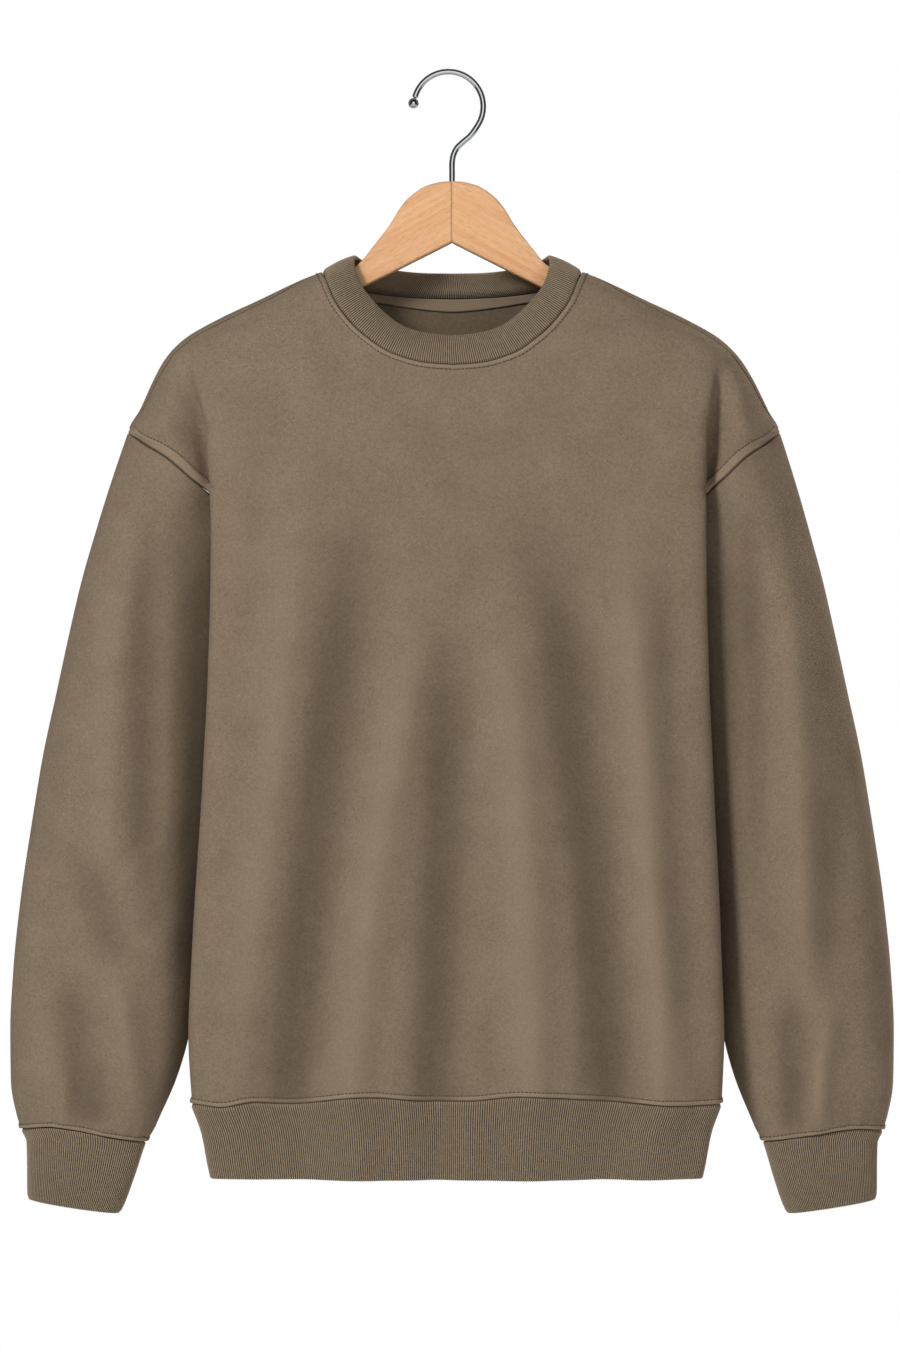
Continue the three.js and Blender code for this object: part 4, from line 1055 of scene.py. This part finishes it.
def dressSleeve(sleeve, name):
    grid = sleeve["grid"]
    near = np.zeros(grid.shape[:2], bool)
    near[:sleeveLook["armholeRows"]] = True
    normal = blendToArmhole(grid, sleeve["normal"], near, sleeve["handed"])[0]
    around = sleeve["turns"][None] * sleeveLook["around"]
    seam = seamProfile(sleeve["armDepth"]) + seamProfile(sleeve["cuffDepth"], sleeveLook["cuffWelt"])
    lift = pucker(around, sleeve["cuffDepth"], *sleeveLook["cuffPucker"])
    lift += pucker(around * 0.8 + 11, sleeve["armDepth"], *sleeveLook["armholePucker"])
    fade = sleeveLook["underarmFade"]
    ends = smoothStep(sleeve["turns"], 0, fade) * (1 - smoothStep(sleeve["turns"], 1 - fade, 1))
    lift = lift * ends
    outer = lean(waveCuff(grid + normal * (seam + lift)[..., None]))
    inner = lean(waveCuff(grid + normal * (lift - cloth["fleece"])[..., None]))
    uv = clothUv(grid, True)
    loops = np.concatenate([outer, inner[::-1]])
    # painted light and shade as on the body; the deep crease beside the body gets the darkest painted
    # shade
    facing = np.sin(sleeve["turns"] * fullTurn)[None]
    foldLightAndShade = sleeveLift(sleeve["handed"], facing, grid[..., 0], grid[..., 2]) / cloth["foldHeight"]
    foldLightAndShade *= np.sign(facing)
    layers = {"seam": np.concatenate([seam, seam[::-1]]),
              "fold": np.concatenate([foldLightAndShade, np.full_like(foldLightAndShade, cloth["inside"])])}
    piece = loopShell(name + "_tube", loops, np.concatenate([uv, uv[::-1]]), layers)
    finishPiece(piece, fleece, name)
    sleeve.update(piece=piece, outer=outer, normal=normal)


dressPanel(panels[-1], "front")
dressPanel(panels[1], "back")
dressSleeve(sleeves[-1], "sleeve_left")
dressSleeve(sleeves[1], "sleeve_right")

# Rib bands

bandLook = {
    "hemHeight": 60.0,
    "cuffHeight": 53.0,
    "cuffRibs": 122,
    "cuffMiddle": 5.0,       # a cuff's middle lies this far behind the hanger's
    "bulge": 0.8,            # how far hem band and cuffs round out
}
ribKnit = {
    "pitch": 1.8,            # one rib
    "height": 0.42,          # half the depth between ridge and valley
    "foldRadius": 1.5,       # the band's free edge is a fold
    "samples": 6,            # points around each rib
    "rowStep": 4.8,          # from one row of points to the next along a rib
}


# Folded rib band on a base surface given by shares from the seam to the free edge. Rows run from
# the seam over the outside, round the fold and back up the inside; ribs stand out of the outside.
def ribBand(name, surface, ribs, height, bulge, outward):
    columns = ribs * ribKnit["samples"]
    radius = ribKnit["foldRadius"]
    last = height - radius
    middleRows = np.arange(5.0, last - 1.0, ribKnit["rowStep"])
    outside = np.concatenate([nearSeam[:6], middleRows, [last - 0.8, last]])
    inside = np.array([last, height * 0.66, height * 0.33, cloth["ease"]])
    place = np.concatenate([outside, inside[:1]])
    base = surface(place / height, columns)
    normal = gridNormals(base[:-1], True, outward)
    down = unit(base[-1] - base[-3])
    phase = np.arange(columns) / ribKnit["samples"] * fullTurn
    rib = np.cos(phase)[None]
    fade = smoothStep(outside, 0.5, 3.0)[:, None]
    crown = bulge * 4 * (outside / height * (1 - outside / height))[:, None]
    roll = seamProfile(outside)[:, None]
    lift = crown + roll + fade * ribKnit["height"] * rib
    outer = base[:-1] + normal * lift[..., None]
    edgeNormal = normal[-1]
    angles = np.linspace(0, math.pi, 8)[1:-1, None, None]
    bend = edgeNormal * np.cos(angles) + down * np.sin(angles)
    middle = base[-1] + edgeNormal * (crown[-1] - radius)[..., None]
    ribHeight = ribKnit["height"] * rib[0][None, :, None] * np.cos(angles / 2)
    fold = middle + bend * (radius + ribHeight)
    innerBase = surface(inside / height, columns)
    innerNormal = gridNormals(innerBase, True, -outward)
    innerLift = bulge * 4 * (inside / height * (1 - inside / height))[:, None, None]
    inner = innerBase + innerNormal * (innerLift - 2 * radius)
    loops = np.concatenate([outer, fold, inner])
    ribTop = np.broadcast_to(0.5 + 0.5 * rib, loops.shape[:2])
    uv = clothUv(loops, True)
    wave = {"hem_band": waveHem, "cuff_left": waveCuff, "cuff_right": waveCuff}
    loops = lean(wave[name](loops) if name in wave else loops)
    piece = loopShell(name + "_rib", loops, uv, {"ribTop": ribTop.astype(float)})
    finishPiece(piece, ribKnitMaterial, name)
    return piece


# Loop around the body from the front's left end, through the right, and back along the back
def bodyLoop(frontLine, backLine):
    return np.concatenate([frontLine, backLine[-2::-1]])


hemLoop = bodyLoop(panels[-1]["hemLine"], panels[1]["hemLine"])
neckLoop = bodyLoop(panels[-1]["neckLine"], panels[1]["neckLine"])


def hemSurface(share, columns):
    loop = alongLine(hemLoop, np.arange(columns) / columns)[None]
    value = readAll(hemNames, hemRows, share[:, None])
    z = np.broadcast_to(value["z"], (len(share), columns))
    return np.stack([loop[..., 0] * value["width"], loop[..., 1] * value["depth"], z], -1)


collarLook = {
    "edgeDepth": 30.0,       # the upper edge reaches this far before and behind the shoulder seam
    "roundness": 0.44,       # below 1 its upper edge is squarer in plan than an ellipse
    "height": 23.5,
    "bulge": 1.4,
}


# Upper edge of the collar at the same shares of its length as the neckline seam below it
def collarEdgeLoop():
    share = np.linspace(0, 1, 300)
    halves = {}
    for side in (-1, 1):
        edge = alongLine(smoothLine(collarEdge[side]), share)
        depth = collarLook["edgeDepth"] * np.cos(share * math.pi / 2).clip(0) ** collarLook["roundness"]
        right = np.stack([edge[:, 0], neckSideY + side * depth, edge[:, 1]], -1)
        halves[side] = np.concatenate([right[:0:-1] * [-1, 1, 1], right])
    loop = soften(bodyLoop(halves[-1], halves[1])[:-1], 22)      # rounds the tops beside the hanger
    return np.concatenate([loop, loop[:1]])


def neckSeamLoop():
    share = np.linspace(0, 1, 300)
    halves = {}
    for side in (-1, 1):
        line = panels[side]["neckLine"]
        right = alongLine(line[len(line) // 2:], share)
        halves[side] = np.concatenate([right[:0:-1] * [-1, 1, 1], right])
    return bodyLoop(halves[-1], halves[1])


def collarSurface(share, columns):
    seamLine, edgeLine = neckSeamLoop(), collarEdgeLoop()
    lengths = lineLengths(seamLine)
    at = np.arange(columns) / columns * lengths[-1]
    seam, edge = readAt(at, lengths, seamLine), readAt(at, lengths, edgeLine)
    return seam[None] + (edge - seam)[None] * share[:, None, None]


def cuffSurface(handed):
    def surface(share, columns):
        angle = np.linspace(0, fullTurn, 2000)
        first = dict(zip(cuffNames, cuffRows[0]))
        halfWidth = (first["outerX"] - first["innerX"]) / 2
        around = np.stack([halfWidth * np.cos(angle), first["depth"] * np.sin(angle), 0 * angle], -1)
        lengths = lineLengths(around)
        angle = np.interp(np.arange(columns) / columns * lengths[-1], lengths, angle)[None]
        value = readAll(cuffNames, cuffRows, share[:, None])
        y = bandLook["cuffMiddle"] - value["depth"] * np.sin(angle)
        return slantedRing(value, np.cos(angle) / 2, y) * [handed, 1, 1]
    return surface


def ribCount(line):
    return int(round(lineLengths(line)[-1] / ribKnit["pitch"]))


body = ["front", "back"]
bulge = bandLook["bulge"]
bandRows = [
    ["hem_band", hemSurface, ribCount(hemLoop), bandLook["hemHeight"], bulge, -1, body],
    ["collar", collarSurface, ribCount(neckLoop), collarLook["height"], collarLook["bulge"], 1, body],
]
for handed, hand in ((-1, "left"), (1, "right")):
    bandRows.append(["cuff_" + hand, cuffSurface(handed), bandLook["cuffRibs"], bandLook["cuffHeight"],
                     bulge, handed, ["sleeve_" + hand]])

bandPieces = []      # each band's piece, surface, height and what it is sewn to
for name, surface, ribs, height, bulge, outward, rests in bandRows:
    piece = ribBand(name, surface, ribs, height, bulge, outward)
    bandPieces.append((piece, surface, height, rests))

# Neck tape, inside the back of the neck

tapeSize = {"top": 0.8, "bottom": 10.9, "thickness": 1.0, "gap": 0.3, "ends": 40}


def neckTape():
    panel = panels[1]
    columns = slice(tapeSize["ends"], -tapeSize["ends"])
    grid, normal = panel["grid"][:, columns], panel["normal"][:, columns]
    depths = np.linspace(tapeSize["bottom"], tapeSize["top"], 9)
    both = np.concatenate([grid, normal], -1).transpose(1, 0, 2)
    total = lineLengths(both[..., :3])[:, -1]
    strip = readLines(both, total[:, None] - depths[None] + cloth["ease"]).transpose(1, 0, 2)
    base, direction = strip[..., :3], strip[..., 3:]
    near = cloth["fleece"] + tapeSize["gap"] + 0.25 * np.cos(np.linspace(0, math.pi, 9))[:, None, None]
    outer = lean(base - direction * near)
    inner = lean(base - direction * (near + tapeSize["thickness"]))
    piece = panelShell("neck_tape_twill", outer, inner, clothUv(base, False), {})
    finishPiece(piece, tape, "neck_tape")
    return piece, base


tapePiece, tapeBase = neckTape()

# Topstitching

stitchLook = {
    "pitch": 3.2,            # from one stitch to the next
    "length": 2.5,
    "thickness": 0.85,
    "sunk": 0.15,            # the thread pulls this far into the cloth
}


# One stitch: a short thread that dives in at both ends, lying along X with Z outwards
def stitchShape():
    along = np.array([-1.0, -0.86, -0.45, 0.45, 0.86, 1.0])
    width = np.array([0.45, 0.8, 1.0, 1.0, 0.8, 0.45]) * stitchLook["thickness"] / 2
    angle = np.arange(6) / 6 * fullTurn
    x = np.repeat(along[:, None] * stitchLook["length"] / 2, 6, axis=1)
    dive = -0.35 * along[:, None] ** 4
    rings = np.stack([x, width[:, None] * np.cos(angle), width[:, None] * np.sin(angle) + dive], -1)
    faces = gridFaces(6, 6, False, True)[0]
    caps = np.array([[3, 2, 1, 0], [5, 4, 3, 0], [30, 31, 32, 33], [30, 33, 34, 35]])
    return rings.reshape(-1, 3), np.concatenate([faces, caps])


# Lays stitches along a line of points, each square to the cloth's own direction there
def stitchRow(line, normals, closed):
    if closed:
        line, normals = np.concatenate([line, line[:1]]), np.concatenate([normals, normals[:1]])
    lengths = lineLengths(line)
    count = int(lengths[-1] / stitchLook["pitch"])
    at = (np.arange(count) + 0.5) * lengths[-1] / count
    middle, up = readAt(at, lengths, line), readAt(at, lengths, normals)
    along = unit(readAt(at + 0.8, lengths, line) - readAt(at - 0.8, lengths, line))
    up = unit(up - (up * along).sum(-1, keepdims=True) * along)
    aside = np.cross(up, along)
    shape, faces = stitchShape()
    raised = stitchLook["thickness"] / 2 - stitchLook["sunk"]
    points = (middle + up * raised)[:, None] + (shape[None, :, :1] * along[:, None]
              + shape[None, :, 1:2] * aside[:, None] + shape[None, :, 2:] * up[:, None])
    return points, faces


# Line on a panel at a distance from its upper or lower edge, or from an armhole
def lineAtDepth(outer, normal, depth, wanted):
    both = np.concatenate([outer, normal, depth[..., None]], -1).transpose(1, 0, 2)
    near = np.abs(both[..., 6] - wanted)
    best = near.argmin(1)
    rows = np.arange(len(both))
    other = np.clip(np.where(both[rows, best, 6] > wanted, best + 1, best - 1), 0, both.shape[1] - 1)
    other = np.where((both[rows, other, 6] - wanted) * (both[rows, best, 6] - wanted) > 0,
                     np.clip(2 * best - other, 0, both.shape[1] - 1), other)
    first, second = both[rows, best], both[rows, other]
    share = (wanted - first[:, 6]) / np.where(first[:, 6] == second[:, 6], 1, second[:, 6] - first[:, 6])
    share = np.clip(share, 0, 1)[:, None]
    line = first * (1 - share) + second * share
    return line[:, :3], line[:, 3:6], near.min(1) < 3.0


def armholeStitchLine(panel, handed):
    count = bodyLook["armholeColumns"]
    columns = slice(-count, None) if handed > 0 else slice(0, count)
    parts = [panel[key][:, columns].swapaxes(0, 1) for key in ("outer", "normal", "armDepth")]
    line, normals, found = lineAtDepth(*parts, bodyLook["armholeWelt"])
    return line[found], normals[found]


def makeStitching():
    rows = []
    for side in (-1, 1):
        panel = panels[side]
        inner = slice(1, -1)
        for key, wanted in (("hemDepth", bodyLook["hemWelt"]), ("neckDepth", bodyLook["neckWelt"])):
            line, normals, found = lineAtDepth(
                panel["outer"][:, inner], panel["normal"][:, inner], panel[key][:, inner], wanted)
            rows.append(stitchRow(line, normals, False))
        for handed in (-1, 1):
            line, normals = armholeStitchLine(panel, handed)
            rows.append(stitchRow(line, normals, False))
    for handed in (-1, 1):
        sleeve = sleeves[handed]
        line, normals, found = lineAtDepth(
            sleeve["outer"], sleeve["normal"], sleeve["cuffDepth"], sleeveLook["cuffWelt"])
        rows.append(stitchRow(line, normals, True))
    points = np.concatenate([row[0] for row in rows])
    faces = rows[0][1][None] + (np.arange(len(points)) * points.shape[1])[:, None, None]
    piece = putMesh("topstitching", points.reshape(-1, 3), faces.reshape(-1, 4))
    finishPiece(piece, thread)


makeStitching()

# Hanger

hangerTop = [[0, -83.3], [10, -84.2], [20, -87], [27.5, -91.3], [33.5, -96], [41, -105],
             [47, -115], [53.4, -124], [61, -133.6], [66, -140], [71, -146], [78, -151],
             [101.4, -160.8], [117, -166], [134, -173], [150.5, -180.8], [167.3, -188.6],
             [183.3, -196.4], [198, -204.1], [202.5, -209.1], [205.5, -215]]
hangerUnderside = [[0, -131.2], [35, -148.8], [70, -166.5], [105, -183], [140, -199.5],
                   [170, -212.6], [192, -222.5], [199, -224.6], [203.4, -221.5], [205.5, -215]]
board = {
    "thickness": 13.0,
    "edgeRound": 2.6,
    "jointGap": 0.02,        # each arm stops this far short of the joint
    "jointRound": 0.15,
    "sides": 12,             # points around each rounded edge
}


# Rounded rectangle around a centre: half sizes a across and b up, with corner radius r
def roundedLoop(a, b, r):
    angle = np.linspace(0, math.pi / 2, board["sides"])
    quarter = [angle + k * math.pi / 2 for k in range(4)]
    signs = [(1, 1), (-1, 1), (-1, -1), (1, -1)]
    y = np.concatenate([sx * (a - r) + r * np.cos(q) for (sx, sz), q in zip(signs, quarter)], -1)
    z = np.concatenate([sz * (b - r) + r * np.sin(q) for (sx, sz), q in zip(signs, quarter)], -1)
    return y, z


# One arm: rounded sections between its top and bottom outlines, closed at both ends
def hangerArm(handed, name):
    nearTip = 0.9 + 0.1 * np.sin(np.linspace(0, 1.5, 30))
    share = np.unique(np.concatenate([np.linspace(0, 0.9, 110), nearTip]))
    top = alongLine(smoothLine(hangerTop), share)
    low = alongLine(smoothLine(hangerUnderside), share)
    length = lineLengths((top + low)[None] / 2)[0]
    shrink = board["jointRound"] * (1 - smoothStep(length, 0, 1.2))[:, None]
    half = np.linalg.norm(top - low, axis=-1)[:, None] / 2
    tip = np.sqrt(np.clip(1 - np.clip(1 - (length[-1] - length) / 5.0, 0, 1) ** 2, 0.02, 1))[:, None]
    a = (board["thickness"] / 2 - shrink) * (0.45 + 0.55 * tip)
    b = np.maximum(half - shrink, 0.12)
    r = np.minimum(np.minimum(board["edgeRound"], a * 0.98), b * 0.98)
    y, up = roundedLoop(a, b, r)
    middle, rise = (top + low) / 2, (top - low) / np.maximum(2 * half, 1e-6)
    x = middle[:, :1] + rise[:, :1] * up + board["jointGap"]
    z = middle[:, 1:] + rise[:, 1:] * up
    loops = np.stack([handed * x, y, z], -1)
    count = loops.shape[1]
    shape = np.concatenate([loops[:1].mean(1, keepdims=True).repeat(count, 1), loops,
                            loops[-1:].mean(1, keepdims=True).repeat(count, 1)])
    faces = gridFaces(len(shape), count, False, True)[0]
    piece = putMesh(name + "_beech", shape.reshape(-1, 3), faces)
    mergeDoubles(piece)
    finishPiece(piece, wood, name)


# Joins the points that meet at a closed end
def mergeDoubles(piece):
    work = bmesh.new()
    work.from_mesh(piece.data)
    bmesh.ops.remove_doubles(work, verts=work.verts, dist=1e-6)
    bmesh.ops.dissolve_degenerate(work, edges=work.edges, dist=1e-7)
    work.to_mesh(piece.data)
    work.free()


hangerArm(-1, "hanger_arm_left")
hangerArm(1, "hanger_arm_right")

# Hook

hook = {
    "wire": 4.5,
    "ball": 8.0,
    "ringRadius": 27.15,
    "centre": (-2.8, -24.74),
    "ballAngle": 167,        # degrees from +X
    "lowAngle": -33,         # degrees, where the ring leaves for the shank
    "bend": [[14.4, -47.4], [8.6, -52.4], [3.6, -57.4], [0.9, -63.2], [0, -69.5]],
    "bottomZ": -104.0,
    "points": 200,           # along the wire
    "sides": 28,
    "ballRings": 25,
    "ballSides": 40,
}


# Place on the ring of the hook
def hookPoint(degrees):
    angle = np.radians(np.asarray(degrees, float))
    centreX, centreZ = hook["centre"]
    return np.stack([centreX + hook["ringRadius"] * np.cos(angle),
                     centreZ + hook["ringRadius"] * np.sin(angle)], -1)


def makeHook():
    ring = hookPoint(np.linspace(hook["ballAngle"], hook["lowAngle"], 23))
    onward = hook["bend"] + [[0, -76], [0, -90], [0, hook["bottomZ"]]]
    line = alongLine(smoothLine(np.concatenate([ring, onward])), np.linspace(0, 1, hook["points"]))
    along = unit(np.gradient(line, axis=0))
    angle = np.arange(hook["sides"]) / hook["sides"] * fullTurn
    full = np.ones(hook["points"] - 4)
    radius = hook["wire"] / 2 * np.concatenate([[0, 0.8], full, [0.8, 0]])
    aside = np.stack([-along[:, 1], along[:, 0]], -1)
    offset = radius[:, None] * np.cos(angle)
    x = line[:, :1] + aside[:, :1] * offset
    z = line[:, 1:] + aside[:, 1:] * offset
    tube = np.stack([x, radius[:, None] * np.sin(angle), z], -1)
    faces = gridFaces(len(tube), hook["sides"], False, True)[0]
    piece = putMesh("hanger_hook_wire", tube.reshape(-1, 3), faces)
    mergeDoubles(piece)
    finishPiece(piece, chrome, "hanger_hook")


def makeBall():
    radius = hook["ball"] / 2
    tangent = np.radians(hook["ballAngle"] + 90)
    end = hookPoint(hook["ballAngle"])
    centre = end + (radius - 0.3) * np.array([np.cos(tangent), np.sin(tangent)])
    around = np.arange(hook["ballSides"]) / hook["ballSides"] * fullTurn
    height = np.linspace(-math.pi / 2, math.pi / 2, hook["ballRings"])[:, None]
    grid = np.stack([centre[0] + radius * np.cos(height) * np.cos(around),
                     radius * np.cos(height) * np.sin(around),
                     centre[1] + radius * np.sin(height) + 0 * around], -1)
    faces = gridFaces(hook["ballRings"], hook["ballSides"], False, True)[0]
    piece = putMesh("hook_ball_chrome", grid.reshape(-1, 3), faces)
    mergeDoubles(piece)
    finishPiece(piece, chrome, "hook_ball")


makeHook()
makeBall()

# Cloth sizes: the flat size and area of each piece, printed


def declareSheet(piece, width, length, area):
    flat = (width * mm, length * mm)
    area = min(area, flat[0] * flat[1])
    print("sheet", piece.name, "flat", [round(v, 3) for v in flat], "area", round(area, 4))


for side in (-1, 1):
    panel = panels[side]
    declareSheet(panel["piece"], panel["width"], panel["length"], gridArea(panel["grid"]))
for handed in (-1, 1):
    sleeve = sleeves[handed]
    grid = closeRing(sleeve["grid"])
    declareSheet(sleeve["piece"], lineLengths(grid)[:, -1].max(), sleeve["length"], gridArea(grid))
for piece, surface, height, rests in bandPieces:
    base = closeRing(surface(np.linspace(0, 1, 30), 400))
    declareSheet(piece, lineLengths(base)[:, -1].max(), height, gridArea(base))
tapeWidth = lineLengths(tapeBase)[:, -1].max()
declareSheet(tapePiece, tapeWidth, tapeSize["bottom"] - tapeSize["top"], gridArea(tapeBase))

# Stage, lights and camera

stageLook = {
    "floorZ": -1.42,
    "floorSize": 5.0,
    "keyPower": 98.0,
    "fillPower": 22.0,
    "around": 0.14,          # light from all around
}


# Studio floor, painted: pale matt paint with faint scuffs; colour and roughness by one noise
def makeFloor():
    material, tree, surface = newMaterial("studio_floor_matt_paint", **{"Specular IOR Level": 0.2})
    scuffs = noise(tree, objectPlace(tree), 240.0, 4.0)
    connect(tree, surface, Base_Color=mixColours(tree, scuffs, "ececea", "f6f6f4"),
            Roughness=remap(tree, scuffs, 0.0, 1.0, 0.7, 0.9))
    half = stageLook["floorSize"] / 2 / mm
    axis = np.linspace(-half, half, 9)
    x, y = np.meshgrid(axis, axis)
    grid = np.stack([x, y, np.full(x.shape, stageLook["floorZ"] / mm)], -1)
    deep = grid - [0, 0, 20]
    floor = panelShell("floor", grid, deep, grid[..., :2], {})
    floor.data.materials.append(material)


def makeLight(name, place, target, size, power):
    data = bpy.data.lights.new(name, "AREA")
    data.shape = "RECTANGLE"
    data.size, data.size_y = size
    data.energy = power
    light = bpy.data.objects.new(name, data)
    light.location = place
    light.rotation_euler = (Vector(target) - Vector(place)).to_track_quat("-Z", "Y").to_euler()
    light.visible_glossy = False      # the surround gives the metal its reflections
    bpy.context.scene.collection.objects.link(light)


# Plain white behind, soft light from all around, and for the metal a surround with a bright strip
# in front, dark before both sides and grey beyond them
def makeWorld():
    world = bpy.data.worlds.new("studio")
    bpy.context.scene.world = world
    world.use_nodes = True
    tree = world.node_tree
    tree.nodes.clear()

    def background(strength):
        return addNode(tree, "ShaderNodeBackground", {
            "Color": (1, 1, 1, 1), "Strength": strength}).outputs[0]

    rays = addNode(tree, "ShaderNodeLightPath")
    depth = apart(tree, addNode(tree, "ShaderNodeTexCoord").outputs["Generated"])["Y"]
    before = remap(tree, depth, -0.96, -0.8, 1.25, 0.02)
    beside = remap(tree, depth, -0.15, 0.15, 0.0, 0.3)
    behind = remap(tree, depth, 0.4, 0.6, 0.0, -0.29)
    bright = calculate(tree, "ADD", calculate(tree, "ADD", before, beside), behind)
    lit = addNode(tree, "ShaderNodeMixShader", {
        0: rays.outputs["Is Glossy Ray"], 1: background(stageLook["around"]), 2: background(bright)})
    both = addNode(tree, "ShaderNodeMixShader", {
        0: rays.outputs["Is Camera Ray"], 1: lit.outputs[0], 2: background(1.0)})
    addNode(tree, "ShaderNodeOutputWorld", {"Surface": both.outputs[0]})


def makeCamera():
    data = bpy.data.cameras.new("camera")
    data.sensor_width = 36.0
    data.lens = 36.0 * 4.0 / 1.053
    camera = bpy.data.objects.new("camera", data)
    camera.location = (-0.0016, -4.0, -0.4682)
    camera.rotation_euler = (math.pi / 2, 0, 0)
    bpy.context.scene.collection.objects.link(camera)
    bpy.context.scene.camera = camera


makeFloor()
middle = (0, 0, -0.45)
makeLight("keyLight", (-1.95, -2.85, 1.2), middle, (0.9, 0.9), stageLook["keyPower"])
makeLight("fillLight", (2.0, -2.9, 0.2), middle, (1.4, 1.8), stageLook["fillPower"])
makeLight("backLight", (2.3, 2.3, 1.1), middle, (0.9, 0.9), stageLook["keyPower"])
makeWorld()
makeCamera()
bpy.context.scene.view_settings.view_transform = "Standard"
